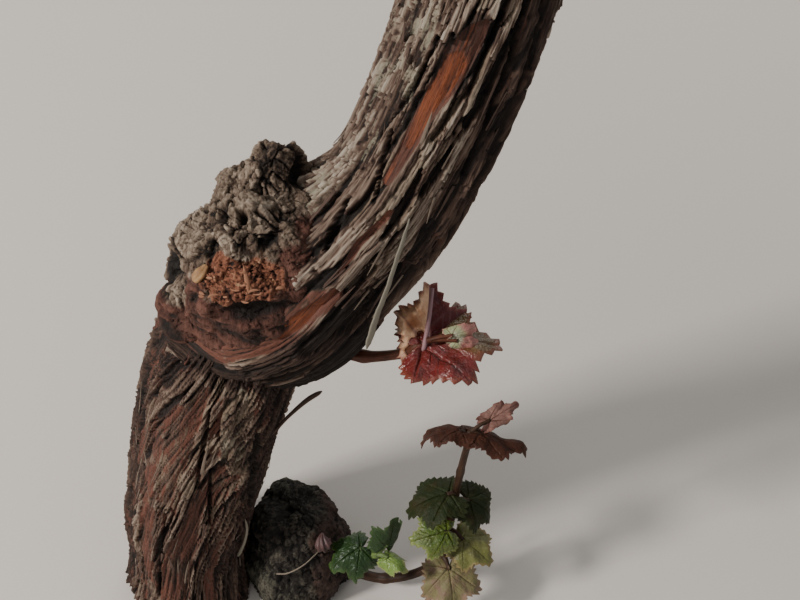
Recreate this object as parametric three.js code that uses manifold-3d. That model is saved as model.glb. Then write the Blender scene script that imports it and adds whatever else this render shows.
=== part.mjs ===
// An old grapevine in late spring: a leaning trunk with a gnarled old head at its bend,
// a woody shoulder and three young suckers at its foot and side, and above the trunk six
// short arms that each carry a mass of leafy shoots. Millimetres, +Z up. The origin is the
// centre of the flat cut at ground level, +X is the side that the trunk leans to, and -Y is
// the front.
import * as THREE from "three";
import { mergeVertices } from "three/addons/utils/BufferGeometryUtils.js";
import Module from "manifold-3d";

const wasm = await Module();
wasm.setup();

// Driving dimensions
const STOCK_RADIUS = 32; // the trunk below its bend
const LIMB_RADIUS = 29; // the trunk above its bend
const BEND_HEIGHT = 170;
const HEAD_HEIGHT = 500; // where the arms part
const HEAD_LEAN = 172; // how far the head stands to the right of the foot
const HEAD_BACK = 46; // and behind it
const CROWN_TOP = 980;
const CROWN_RADIUS = 345;
const JOINT_GAP = 0.3; // between solids that meet
const TRUNK_SIDES = 18;
const ARM_SIDES = 10;
const LUMP_DETAIL = 2;

// Finishes
const BARK = { color: 0x5d4638, roughness: 0.92, metalness: 0 };
const DARK_BARK = { color: 0x3b3029, roughness: 0.95, metalness: 0 };
const LEAF_GREEN = { color: 0x5f8a34, roughness: 0.6, metalness: 0 };
const LEAF_RED = { color: 0x8c3a2c, roughness: 0.5, metalness: 0 };
const LEAF_OLIVE = { color: 0x7c7c36, roughness: 0.55, metalness: 0 };

const vector = (x, y, z) => new THREE.Vector3(x, y, z);
const FRONT = vector(0, -1, 0);
const UP = vector(0, 0, 1);
const degrees = THREE.MathUtils.degToRad;

// A seeded stream of numbers from 0 to 1
function randomStream(seed) {
  let state = seed % 4294967296;
  return () => {
    state = (state * 1664525 + 1013904223) % 4294967296;
    return state / 4294967296;
  };
}

// The solid inside a closed geometry
function solidOf(geometry) {
  geometry.deleteAttribute("normal");
  geometry.deleteAttribute("uv");
  const merged = mergeVertices(geometry, 1e-4);
  return new wasm.Manifold(
    new wasm.Mesh({
      numProp: 3,
      vertProperties: new Float32Array(merged.attributes.position.array),
      triVerts: new Uint32Array(merged.index.array),
    }),
  );
}

// Limbs: a cylinder's rings are laid along a smooth line, each with its own radius

// Points and ring directions along a line. front is the ring's direction of angle 0, kept
// facing the same way as the line turns, and side its direction of a quarter turn.
function ringsAlong(stations, count, facing) {
  const line = new THREE.CatmullRomCurve3(
    stations.map((s) => s.at),
    false,
    "catmullrom",
    0.5,
  );
  const girth = new THREE.CatmullRomCurve3(
    stations.map((s) => vector(s.radius, 0, 0)),
    false,
    "catmullrom",
    0.5,
  );
  const step = 1e-3;
  const rings = [];
  let front = facing.clone();
  for (let i = 0; i <= count; i++) {
    const t = i / count;
    const along = line
      .getPoint(Math.min(t + step, 1))
      .sub(line.getPoint(Math.max(t - step, 0)))
      .normalize();
    front = front.clone().addScaledVector(along, -front.dot(along)).normalize();
    rings.push({
      centre: line.getPoint(t),
      along,
      front,
      side: along.clone().cross(front),
      radius: girth.getPoint(t).x,
    });
  }
  return rings;
}

// How far the flutes move the surface at an angle round the limb and a share t of its length
function fluteFactor(flutes, angle, t) {
  return flutes.reduce(
    (sum, f) => sum + f.depth * Math.cos(f.count * angle + f.phase + f.twist * t),
    1,
  );
}

function limbSolid({ stations, flutes = [], facing = FRONT }, sides, count, gap = 0) {
  const rings = ringsAlong(stations, count, facing);
  const geometry = new THREE.CylinderGeometry(1, 1, 1, sides, count);
  const place = geometry.attributes.position;
  for (let i = 0; i < place.count; i++) {
    const t = place.getY(i) + 0.5;
    const ring = rings[Math.round(t * count)];
    const angle = Math.atan2(place.getX(i), place.getZ(i));
    const share = Math.hypot(place.getX(i), place.getZ(i));
    const reach = share * (ring.radius * fluteFactor(flutes, angle, t) + gap);
    const end = t > 0.999 ? gap : t < 0.001 ? -gap : 0;
    const point = ring.centre
      .clone()
      .addScaledVector(ring.side, reach * Math.sin(angle))
      .addScaledVector(ring.front, reach * Math.cos(angle))
      .addScaledVector(ring.along, end);
    place.setXYZ(i, point.x, point.y, point.z);
  }
  return solidOf(geometry);
}

// A gnarled lump: a ball with uneven radii and knobs
function lumpSolid({ at, radii, knobs = 0.07, turn = 0 }, gap = 0) {
  const geometry = new THREE.IcosahedronGeometry(1, LUMP_DETAIL);
  const place = geometry.attributes.position;
  for (let i = 0; i < place.count; i++) {
    const d = vector(place.getX(i), place.getY(i), place.getZ(i)).normalize();
    const swell =
      1 +
      knobs * Math.sin(5.3 * d.x + turn) * Math.sin(4.7 * d.y + 2 * turn) +
      knobs * Math.sin(6.1 * d.z + 3 * turn);
    place.setXYZ(
      i,
      at.x + d.x * (radii[0] * swell + gap),
      at.y + d.y * (radii[1] * swell + gap),
      at.z + d.z * (radii[2] * swell + gap),
    );
  }
  return solidOf(geometry);
}

// Everything below the ground is cut away
function cutAtGround(solid) {
  const depth = 200;
  const block = new THREE.BoxGeometry(1200, 1200, depth).translate(0, 0, -depth / 2);
  return solid.subtract(solidOf(block));
}

// The trunk: a stock that flares at the ground, and a limb that rolls over it and leans away
const STOCK = {
  stations: [
    { at: vector(-3, 0, -20), radius: STOCK_RADIUS * 1.22 },
    { at: vector(-1, 0, 12), radius: STOCK_RADIUS * 1.0 },
    { at: vector(2, 0, 46), radius: STOCK_RADIUS * 0.97 },
    { at: vector(10, 0, 84), radius: STOCK_RADIUS * 1.03 },
    { at: vector(20, 0, 128), radius: STOCK_RADIUS * 1.07 },
    { at: vector(32, 0, BEND_HEIGHT), radius: STOCK_RADIUS * 1.08 },
    { at: vector(40, 0, BEND_HEIGHT + 30), radius: STOCK_RADIUS * 0.8 },
  ],
  flutes: [
    { count: 2, depth: 0.035, phase: 0.6, twist: 0.8 },
    { count: 5, depth: 0.035, phase: 1.9, twist: 1.4 },
  ],
};

const LIMB = {
  stations: [
    { at: vector(12, -1, BEND_HEIGHT + 28), radius: LIMB_RADIUS * 0.62 },
    { at: vector(36, -2, BEND_HEIGHT + 20), radius: LIMB_RADIUS * 1.0 },
    { at: vector(60, -2, BEND_HEIGHT + 32), radius: LIMB_RADIUS * 1.15 },
    { at: vector(79, 0, BEND_HEIGHT + 54), radius: LIMB_RADIUS * 1.1 },
    { at: vector(96, 4, BEND_HEIGHT + 76), radius: LIMB_RADIUS * 1.06 },
    { at: vector(112, 10, BEND_HEIGHT + 101), radius: LIMB_RADIUS * 0.98 },
    { at: vector(134, 25, BEND_HEIGHT + 153), radius: LIMB_RADIUS * 1.03 },
    { at: vector(154, 38, BEND_HEIGHT + 225), radius: LIMB_RADIUS * 0.98 },
    { at: vector(166, 44, BEND_HEIGHT + 290), radius: LIMB_RADIUS * 1.05 },
    { at: vector(HEAD_LEAN, HEAD_BACK, HEAD_HEIGHT + 12), radius: LIMB_RADIUS * 0.95 },
  ],
  flutes: [
    { count: 2, depth: 0.04, phase: 2.2, twist: -1.6 },
    { count: 5, depth: 0.03, phase: 0.4, twist: 2.4 },
  ],
};

// The old head, once pruned back, on the outside of the bend, and its scar with cut stubs
const OLD_HEAD_LUMPS = [
  { at: vector(43, -3, 221), radii: [29, 32, 36], turn: 0.3 },
  { at: vector(53, -2, 242), radii: [25, 28, 26], turn: 1.2 },
  { at: vector(31, -4, 223), radii: [18, 23, 29], turn: 2.1 },
  { at: vector(58, 4, 261), radii: [14, 15, 19], turn: 0.8 },
  { at: vector(47, -24, 229), radii: [22, 13, 17], turn: 1.7, knobs: 0.12 },
  { at: vector(34, -22, 231), radii: [11, 12, 12], turn: 2.9, knobs: 0.12 },
];

// The knuckle that the arms grow out of
const HEAD_LUMPS = [
  { at: vector(HEAD_LEAN, HEAD_BACK, HEAD_HEIGHT), radii: [40, 38, 31], turn: 0.5 },
  { at: vector(HEAD_LEAN - 16, HEAD_BACK - 8, HEAD_HEIGHT - 16), radii: [26, 28, 30], turn: 2.4 },
];

function trunkSolid(gap = 0) {
  const pieces = [
    limbSolid(STOCK, TRUNK_SIDES, 18, gap),
    limbSolid(LIMB, TRUNK_SIDES, 32, gap),
    ...OLD_HEAD_LUMPS.map((lump) => lumpSolid(lump, gap)),
    ...HEAD_LUMPS.map((lump) => lumpSolid(lump, gap)),
  ];
  return cutAtGround(wasm.Manifold.union(pieces));
}

// The woody shoulder beside the foot, that two of the suckers grow from
const SHOULDER_LUMPS = [
  { at: vector(55, 3, 16), radii: [25, 29, 40], turn: 0.9, knobs: 0.05 },
  { at: vector(62, 6, 4), radii: [21, 26, 36], turn: 2.2, knobs: 0.05 },
];

function shoulderSolid(gap = 0) {
  return cutAtGround(
    wasm.Manifold.union(SHOULDER_LUMPS.map((lump) => lumpSolid(lump, gap))),
  );
}

// Leaves: a thin blade with five lobes that sags from its middle to its rim

// The blade's outline: an angle from the midrib, a share of the leaf's length and a share
// of the sag, from the notch at the stalk round one side, and mirrored for the other
const LOBES = [
  { angle: 0, reach: 0.62, sag: 1 },
  { angle: 31, reach: 0.4, sag: 0.3 },
  { angle: 62, reach: 0.56, sag: 0.8 },
  { angle: 128, reach: 0.47, sag: 0.7 },
];
const NOTCH = { angle: 180, reach: 0.1, sag: 0 };
const BLADE_THICKNESS = 0.03; // a share of the leaf's length, at the middle
const BLADE_SAG = 0.12;

// The corners of a leaf's rim: middle is the blade's centre, tip the direction of its midrib
// and face its normal
function rimOf({ middle, tip, face, length }) {
  const side = face.clone().cross(tip);
  const rim = [
    ...LOBES.slice().reverse().map((p) => ({ ...p, angle: -p.angle })),
    ...LOBES.slice(1),
    NOTCH,
  ];
  return rim.map(({ angle, reach, sag }) =>
    middle
      .clone()
      .addScaledVector(tip, length * reach * Math.cos(degrees(angle)))
      .addScaledVector(side, length * reach * Math.sin(degrees(angle)))
      .addScaledVector(face, -length * BLADE_SAG * sag),
  );
}

function bladeSolid(leaf) {
  const { middle, face, length } = leaf;
  const points = rimOf(leaf);
  const half = (length * BLADE_THICKNESS) / 2;
  const top = middle.clone().addScaledVector(face, half);
  const underside = middle.clone().addScaledVector(face, -half);
  const corners = [];
  points.forEach((point, i) => {
    const next = points[(i + 1) % points.length];
    corners.push(top, point, next, underside, next, point);
  });
  return solidOf(new THREE.BufferGeometry().setFromPoints(corners));
}

// A three-sided twig from point to point, thinning evenly
function twigSolid(points, thick, thin, facing = FRONT) {
  const last = points.length - 1;
  const stations = points.map((at, i) => ({
    at,
    radius: THREE.MathUtils.lerp(thick, thin, i / last),
  }));
  return limbSolid({ stations, facing }, 3, last);
}

// A leaf, from where its stalk leaves the twig, its stalk's end, and the ways that its
// midrib and its upper face point
function leafOf(root, base, tipWay, faceWay, length) {
  const tip = tipWay.clone().normalize();
  return {
    root,
    tip,
    face: perpendicular(tip, faceWay),
    length,
    stalk: 1.1 + length * 0.006,
    middle: base.clone().addScaledVector(tip, length * 0.1),
  };
}

// A leaf with its stalk, whose ends are sunk into the twig and the blade
function leafSolids(leaf) {
  const stalk = twigSolid([leaf.root, leaf.middle], leaf.stalk, leaf.stalk * 0.8);
  return [bladeSolid(leaf), stalk];
}

function perpendicular(direction, towards) {
  return towards.clone().addScaledVector(direction, -towards.dot(direction)).normalize();
}

// The crown: arms leave the head round a circle, and one rises from its middle. Each arm's
// mass of leaves keeps to its own sector of the crown, or to the column over the head.
const ARM_COUNT = 5;
const FIRST_ARM = degrees(-158);
const ARM_TIP_RADIUS = 128;
const ARM_TIP_HEIGHT = HEAD_HEIGHT + 62;
const SECTOR_HALF = degrees(180 / ARM_COUNT - 1.5);
const COLUMN_RADIUS = 84;
const SECTOR_START = 90;
const SPUR_LENGTH = 34;
const CROWN_FOOT = HEAD_HEIGHT + 28;
const AXIS = vector(HEAD_LEAN, HEAD_BACK, 0);

const outward = (azimuth) => vector(Math.cos(azimuth), Math.sin(azimuth), 0);

function outerArm(i) {
  const azimuth = FIRST_ARM + (i * 2 * Math.PI) / ARM_COUNT;
  const out = outward(azimuth);
  const lift = (i % 2) * 16;
  const reachTo = (radius, height) =>
    AXIS.clone().addScaledVector(out, radius).setZ(height);
  return {
    azimuth,
    stations: [
      { at: reachTo(12, HEAD_HEIGHT - 4), radius: 17 },
      { at: reachTo(58, HEAD_HEIGHT + 12 + lift * 0.4), radius: 14.5 },
      { at: reachTo(98, HEAD_HEIGHT + 30 + lift * 0.8), radius: 12 },
      { at: reachTo(ARM_TIP_RADIUS, ARM_TIP_HEIGHT + lift), radius: 9.5 },
    ],
    flutes: [{ count: 3, depth: 0.06, phase: i, twist: 2 }],
    facing: UP,
  };
}

const CENTRE_ARM = {
  azimuth: 0,
  stations: [
    { at: vector(HEAD_LEAN - 4, HEAD_BACK, HEAD_HEIGHT + 6), radius: 18 },
    { at: vector(HEAD_LEAN + 4, HEAD_BACK + 3, HEAD_HEIGHT + 52), radius: 14 },
    { at: vector(HEAD_LEAN - 3, HEAD_BACK - 2, HEAD_HEIGHT + 96), radius: 10 },
  ],
  flutes: [{ count: 3, depth: 0.06, phase: 1, twist: 2 }],
  facing: FRONT,
};

const ARMS = [...Array.from({ length: ARM_COUNT }, (_, i) => outerArm(i)), CENTRE_ARM];
const ARM_NAMES = ["left", "front", "right", "back_right", "back_left", "centre"];
const isCentre = (arm) => arm === CENTRE_ARM;

// How wide the crown is at a height
function crownRadius(height) {
  const middle = HEAD_HEIGHT + 210;
  const half = height > middle ? CROWN_TOP + 30 - middle : middle - CROWN_FOOT + 75;
  const share = (height - middle) / half;
  return CROWN_RADIUS * Math.sqrt(Math.max(0, 1 - share * share));
}

// Whether a ball round a point stays inside an arm's space
function insideSpace(arm, centre, radius) {
  const from = centre.clone().sub(AXIS);
  const away = Math.hypot(from.x, from.y);
  if (centre.z - radius < CROWN_FOOT || centre.z + radius > CROWN_TOP) return false;
  if (isCentre(arm)) return away + radius < COLUMN_RADIUS;
  if (away + radius > crownRadius(centre.z)) return false;
  if (away - radius < SECTOR_START) return false;
  const turn = Math.atan2(from.y, from.x) - arm.azimuth;
  const off = Math.abs(Math.atan2(Math.sin(turn), Math.cos(turn)));
  return off < SECTOR_HALF && away * Math.sin(SECTOR_HALF - off) > radius;
}

// One shoot: its line, and a leaf at each joint on alternate sides
const SHOOT_RISE = 0.2; // how strongly a shoot turns up at its foot
const SHOOT_ARCH = 0.045; // and how much less with each joint
const SHOOT_THICK = 4.2;
const SHOOT_THIN = 1.7;
const LEAF_LENGTHS = [70, 86, 100, 104, 100, 90, 76, 60, 44]; // one for each joint
const LEAF_SHARES = [1, 0.82, 0.66]; // a leaf with no room is tried again at a smaller size
const LEAF_SPACING = 0.37; // between two leaves' middles, as a share of their lengths
const LEAF_MARGIN = 1.5; // between a leaf and the edge of its mass's space
const STALK_LENGTH = 0.62; // a share of the leaf's length

function hasRoom(arm, leaf, leaves) {
  return (
    leaves.every(
      (other) => other.middle.distanceTo(leaf.middle) > LEAF_SPACING * (other.length + leaf.length),
    ) && rimOf(leaf).every((corner) => insideSpace(arm, corner, LEAF_MARGIN))
  );
}

function growShoot(arm, start, heading, reach, random, leaves) {
  const joints = LEAF_LENGTHS.length;
  const out = outward(arm.azimuth);
  const across = vector(-out.y, out.x, 0);
  const points = [start.clone()];
  let direction = heading.clone();
  let turnSide = random() < 0.5 ? 1 : -1;
  for (let joint = 0; joint < joints; joint++) {
    const [swayX, swayY, swayZ] = [random(), random(), random()];
    const sway = vector(swayX - 0.5, swayY - 0.5, swayZ - 0.5);
    direction = direction
      .clone()
      .addScaledVector(UP, SHOOT_RISE - SHOOT_ARCH * joint)
      .addScaledVector(out, isCentre(arm) ? 0 : 0.5 * SHOOT_ARCH * joint)
      .addScaledVector(sway, 0.3)
      .normalize();
    const point = points.at(-1).clone().addScaledVector(direction, reach / joints);
    if (!insideSpace(arm, point, 6)) break;
    points.push(point);
    turnSide = -turnSide;
    const [sideways, lift, size, droop, turn] = [random(), random(), random(), random(), random()];
    const spread = perpendicular(direction, across)
      .multiplyScalar(turnSide)
      .addScaledVector(out, isCentre(arm) ? sideways - 0.5 : 0.3 + 0.7 * sideways)
      .addScaledVector(UP, 0.2 + 0.4 * lift)
      .normalize();
    const tip = spread.clone().addScaledVector(UP, -0.5 - 0.5 * droop).normalize();
    const light = UP.clone().addScaledVector(out, 0.9 * turn).addScaledVector(sway, 0.8);
    const fullLength = LEAF_LENGTHS[joint] * (0.88 + 0.24 * size);
    const leaf = LEAF_SHARES.map((share) => {
      const base = point.clone().addScaledVector(spread, fullLength * share * STALK_LENGTH);
      return leafOf(point, base, tip, light, fullLength * share);
    }).find((candidate) => hasRoom(arm, candidate, leaves));
    if (leaf) leaves.push(leaf);
  }
  return points;
}

// An arm's mass: a spur on the arm's tip, and shoots that fan out of it
const OUTER_SHOOTS = [
  { side: -0.62, out: 0.62, reach: 330 },
  { side: 0.62, out: 0.62, reach: 330 },
  { side: -0.3, out: 0.1, reach: 400 },
  { side: 0.32, out: 0.3, reach: 390 },
  { side: 0.02, out: 1.05, reach: 300 },
];
const CENTRE_SHOOTS = [
  { side: -0.2, out: 0.2, reach: 350 },
  { side: 0.25, out: -0.15, reach: 330 },
];

function growMass(arm, seed) {
  const random = randomStream(seed);
  const tip = arm.stations.at(-1);
  const along = tip.at.clone().sub(arm.stations.at(-2).at).normalize();
  const start = tip.at.clone().addScaledVector(along, JOINT_GAP);
  const spurEnd = start.clone().addScaledVector(along, SPUR_LENGTH);
  const out = outward(arm.azimuth);
  const across = vector(-out.y, out.x, 0);
  const leaves = [];
  const shoots = (isCentre(arm) ? CENTRE_SHOOTS : OUTER_SHOOTS).map((plan, i) => {
    const root = start.clone().lerp(spurEnd, 0.45 + 0.12 * i);
    const heading = UP.clone()
      .addScaledVector(out, plan.out)
      .addScaledVector(across, plan.side)
      .normalize();
    return growShoot(arm, root, heading, plan.reach, random, leaves);
  });
  return { start, spurEnd, along, shoots, leaves, tipRadius: tip.radius };
}

// Shoots with too few joints are left out, with the leaves that grew on them
function massSolid(mass) {
  const spur = limbSolid(
    {
      stations: [
        { at: mass.start, radius: mass.tipRadius * 0.9 },
        { at: mass.spurEnd, radius: mass.tipRadius * 0.55 },
      ],
      facing: perpendicular(mass.along, FRONT),
    },
    6,
    1,
  );
  const solids = [spur];
  mass.shoots.forEach((points) => {
    if (points.length > 1) solids.push(twigSolid(points, SHOOT_THICK, SHOOT_THIN));
  });
  mass.leaves.forEach((leaf) => solids.push(...leafSolids(leaf)));
  return largestBody(wasm.Manifold.union(solids));
}

// The one body that is left when loose scraps and sealed hollows are dropped
function largestBody(solid) {
  const bodies = solid.decompose().filter((body) => body.volume() > 0);
  return bodies.reduce((a, b) => (b.volume() > a.volume() ? b : a));
}

// Suckers: a short stem with a few young leaves, each set by hand
// The red one on the trunk's side, just under the bend
const RED_SUCKER = {
  stem: [vector(78, -11, 183), vector(92, -17, 184), vector(111, -18, 188), vector(118, -19, 199)],
  thick: 2.7,
  thin: 2.0,
  leaves: [
    leafOf(
      vector(111, -18, 188),
      vector(119, -20, 187),
      vector(1, -0.1, -0.12),
      vector(0.05, 0.25, 0.95),
      38,
    ),
    leafOf(
      vector(117, -19, 197),
      vector(122, -16, 200),
      vector(0.38, 0.6, 0.65),
      vector(-0.65, -0.4, 0.6),
      26,
    ),
    leafOf(
      vector(113, -19, 191),
      vector(115, -17, 197),
      vector(0.02, 0.7, 0.7),
      vector(-0.85, -0.4, 0.3),
      27,
    ),
  ],
};

// The tall one that arches out of the shoulder, with brown-red leaves at its top
const TALL_SUCKER = {
  stem: [
    vector(74, -6, 13),
    vector(100, -12, 10),
    vector(124, -14, 26),
    vector(132, -12, 62),
    vector(136, -11, 98),
    vector(140, -11, 127),
  ],
  thick: 2.9,
  thin: 1.7,
  leaves: [
    leafOf(
      vector(139, -11, 122),
      vector(134, -11, 126),
      vector(-0.97, -0.05, -0.08),
      vector(-0.05, 0.25, 0.95),
      25,
    ),
    leafOf(
      vector(140, -11, 125),
      vector(144, -11, 122),
      vector(0.9, -0.15, -0.3),
      vector(0.3, 0.15, 0.9),
      28,
    ),
    leafOf(
      vector(134, -12, 80),
      vector(132, -13, 84),
      vector(-0.98, -0.1, 0),
      vector(-0.1, 0.3, 0.95),
      30,
    ),
    leafOf(
      vector(131, -13, 54),
      vector(130, -17, 58),
      vector(-0.85, -0.45, -0.05),
      vector(-0.1, -0.4, 0.9),
      24,
    ),
    leafOf(
      vector(131, -12, 54),
      vector(138, -17, 52),
      vector(0.7, -0.45, -0.3),
      vector(0.3, -0.5, 0.8),
      24,
    ),
    leafOf(
      vector(128, -14, 36),
      vector(132, -24, 33),
      vector(0.2, -0.85, -0.3),
      vector(0, -0.4, 0.9),
      29,
    ),
  ],
};

// The small green one on the shoulder's flank
const GREEN_SUCKER = {
  stem: [vector(66, -5, 33), vector(80, -13, 37), vector(91, -19, 41), vector(97, -23, 47)],
  thick: 2.3,
  thin: 1.7,
  leaves: [
    leafOf(
      vector(90, -19, 41),
      vector(87, -24, 43),
      vector(-0.5, -0.65, -0.35),
      vector(-0.2, -0.55, 0.8),
      24,
    ),
    leafOf(
      vector(96, -22, 46),
      vector(101, -21, 52),
      vector(0.35, 0.1, 0.9),
      vector(0.5, -0.8, 0.1),
      22,
    ),
    leafOf(
      vector(97, -23, 47),
      vector(101, -29, 44),
      vector(0.5, -0.75, -0.1),
      vector(0.1, -0.3, 0.9),
      16,
    ),
  ],
};

function suckerSolid({ stem, thick, thin, leaves }) {
  const last = stem.length - 1;
  const stations = stem.map((at, i) => ({
    at,
    radius: THREE.MathUtils.lerp(thick, thin, i / last),
  }));
  const solids = [limbSolid({ stations, facing: UP }, 6, last * 2)];
  leaves.forEach((leaf) => solids.push(...leafSolids(leaf)));
  return wasm.Manifold.union(solids);
}

// The scene graph
const vine = new THREE.Group();

function addNode(name, solid, finish) {
  const mesh = solid.getMesh();
  const geometry = new THREE.BufferGeometry();
  geometry.setAttribute("position", new THREE.BufferAttribute(mesh.vertProperties, 3));
  geometry.setIndex(new THREE.BufferAttribute(mesh.triVerts, 1));
  const node = new THREE.Mesh(geometry, new THREE.MeshStandardMaterial(finish));
  node.name = name;
  vine.add(node);
}

const trunk = trunkSolid();
const trunkSpace = trunkSolid(JOINT_GAP);
const shoulderSpace = shoulderSolid(JOINT_GAP);

addNode("trunk", trunk, BARK);
addNode("foot_shoulder", largestBody(shoulderSolid().subtract(trunkSpace)), DARK_BARK);

// Each arm is cut by the head and by the arms before it
let taken = trunkSpace;
ARMS.forEach((arm, i) => {
  addNode(`arm_${ARM_NAMES[i]}`, largestBody(limbSolid(arm, ARM_SIDES, 6).subtract(taken)), BARK);
  taken = taken.add(limbSolid(arm, ARM_SIDES, 6, JOINT_GAP));
});

ARMS.forEach((arm, i) => {
  const mass = growMass(arm, 41 + 17 * i);
  addNode(`leaves_${ARM_NAMES[i]}`, massSolid(mass), LEAF_GREEN);
});

const wood = trunkSpace.add(shoulderSpace);
addNode("sucker_red", largestBody(suckerSolid(RED_SUCKER).subtract(wood)), LEAF_RED);
addNode("sucker_tall", largestBody(suckerSolid(TALL_SUCKER).subtract(wood)), LEAF_OLIVE);
addNode("sucker_green", largestBody(suckerSolid(GREEN_SUCKER).subtract(wood)), LEAF_GREEN);

export default vine;
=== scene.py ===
"""The looks of an old grapevine in late spring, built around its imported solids.

Sizes are in millimetres and angles in degrees, unless a name says otherwise. Meshes are
written in metres. +X is the side that the trunk leans to, -Y the front and +Z up.
"""

from __future__ import annotations

import logging
import math
from dataclasses import dataclass, field, replace
from enum import Enum
from typing import Callable, Sequence

import bpy
import numpy as np
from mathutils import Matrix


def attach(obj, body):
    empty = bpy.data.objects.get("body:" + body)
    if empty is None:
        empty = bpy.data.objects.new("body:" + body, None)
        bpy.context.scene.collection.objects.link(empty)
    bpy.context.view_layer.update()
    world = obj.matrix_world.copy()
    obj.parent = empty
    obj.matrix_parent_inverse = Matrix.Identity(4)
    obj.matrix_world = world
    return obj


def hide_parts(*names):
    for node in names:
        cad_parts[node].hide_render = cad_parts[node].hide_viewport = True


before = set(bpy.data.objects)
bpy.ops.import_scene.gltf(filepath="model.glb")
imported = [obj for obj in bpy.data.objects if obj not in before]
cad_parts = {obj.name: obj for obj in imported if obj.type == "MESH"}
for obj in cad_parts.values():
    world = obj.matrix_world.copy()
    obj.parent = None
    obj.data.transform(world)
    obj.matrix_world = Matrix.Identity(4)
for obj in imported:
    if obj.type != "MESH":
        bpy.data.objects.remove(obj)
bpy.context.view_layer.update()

log = logging.getLogger("vine")

Array = np.ndarray
Piece = bpy.types.Object
Triple = tuple[float, float, float]
Colour = tuple[float, float, float]

MM = 0.001
WELD = 1e-6  # points nearer than this, in metres, become one
FRONT = np.array([0.0, -1.0, 0.0])
UP = np.array([0.0, 0.0, 1.0])

# Driving dimensions, the same as the solids'
STOCK_RADIUS = 32.0
LIMB_RADIUS = 29.0
BEND_HEIGHT = 170.0
HEAD_HEIGHT = 500.0
HEAD_LEAN = 172.0
HEAD_BACK = 46.0
CROWN_TOP = 980.0
CROWN_RADIUS = 345.0


# Directions and smooth steps

def unit(way: Sequence[float]) -> Array:
    """The direction of one way, at length 1."""
    way = np.asarray(way, float)
    return way / np.linalg.norm(way)


def perpendicular(direction: Array, towards: Sequence[float]) -> Array:
    """The direction nearest to towards that is square to direction."""
    towards = np.asarray(towards, float)
    return unit(towards - direction * towards.dot(direction))


def smooth_step(low: float, high: float, value: Array) -> Array:
    """0 below low, 1 above high and a smooth rise between them."""
    share = np.clip((value - low) / (high - low), 0.0, 1.0)
    return share * share * (3.0 - 2.0 * share)


def blend(first: Array, second: Array, share: Array) -> Array:
    """first where share is 0, second where it is 1."""
    return first + (second - first) * share


# Seeded randomness

@dataclass
class Stream:
    """A seeded stream of numbers from 0 to 1, the one that the solids' rule draws from."""

    state: int

    FACTOR = 1664525
    STEP = 1013904223
    SPAN = 2**32  # how many states there are

    def draw(self) -> float:
        """The next number."""
        self.state = (self.state * self.FACTOR + self.STEP) % self.SPAN
        return self.state / self.SPAN

    def between(self, low: float, high: float) -> float:
        """The next number, spread from low to high."""
        return low + (high - low) * self.draw()

    def sway(self) -> Array:
        """The next three numbers, spread from -0.5 to 0.5."""
        return np.array([self.draw(), self.draw(), self.draw()]) - 0.5


def scatter(*keys: Array | int) -> Array:
    """One value from 0 to 1 for each set of whole numbers.

    Args:
        keys: whole numbers, as arrays of one shape or single numbers.

    Returns:
        An array of that shape.
    """
    shape = np.broadcast_shapes(*(np.shape(key) for key in keys), (1,))
    mixed = np.full(shape, 0x9E3779B97F4A7C15, np.uint64)
    for key in keys:
        mixed = mixed ^ np.asarray(key, np.float64).astype(np.int64).astype(np.uint64)
        mixed = mixed * np.uint64(0xBF58476D1CE4E5B9)
        mixed = mixed ^ (mixed >> np.uint64(29))
    return (mixed >> np.uint64(40)).astype(float) / 2**24


def smooth_noise(points: Array, seed: int) -> Array:
    """Smooth noise with one value a cell.

    Args:
        points: places in cells.
        seed: picks the pattern.

    Returns:
        A value from -1 to 1 for each place.
    """
    cell = np.floor(points)
    share = points - cell
    share = share * share * (3.0 - 2.0 * share)
    total = np.zeros(len(points))
    for corner in np.ndindex(2, 2, 2):
        weight = np.prod(np.where(corner, share, 1.0 - share), axis=1)
        total += weight * scatter(*(cell[:, i] + corner[i] for i in range(3)), seed)
    return 2.0 * total - 1.0


def rough_noise(points: Array, size: float, seed: int, octaves: int = 3) -> Array:
    """Noise of several sizes, each half of the last and half as strong."""
    total = np.zeros(len(points))
    for octave in range(octaves):
        total += smooth_noise(points * 2**octave / size, seed + octave) / 2**octave
    return total


def cell_noise(points: Array, size: float, seed: int) -> tuple[Array, Array, Array]:
    """Cells round scattered points.

    Args:
        points: places in millimetres.
        size: the cells' mean width.
        seed: picks the pattern.

    Returns:
        How far each point is from its cell's edge, in cells, its cell's own value, and its
        height on a facet that slants in the cell's own direction.
    """
    scaled = points / size
    cell = np.floor(scaled)
    nearest = np.full(len(points), 9.0)
    second = np.full(len(points), 9.0)
    own = np.zeros(len(points))
    slant = np.zeros(len(points))
    for step in np.ndindex(3, 3, 3):
        other = cell + (np.array(step) - 1)
        keys = [other[:, i] for i in range(3)]
        seat = other + np.stack([scatter(*keys, seed + i) for i in range(3)], axis=1)
        distance = np.linalg.norm(scaled - seat, axis=1)
        tilt = np.stack([scatter(*keys, seed + 20 + i) - 0.5 for i in range(3)], axis=1)
        closer = distance < nearest
        second = np.where(closer, nearest, np.minimum(second, distance))
        own = np.where(closer, scatter(*keys, seed + 3), own)
        slant = np.where(closer, ((scaled - seat) * tilt).sum(1), slant)
        nearest = np.minimum(nearest, distance)
    return second - nearest, own, slant


# Limbs: a smooth line with a radius and a ring direction at each place

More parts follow.
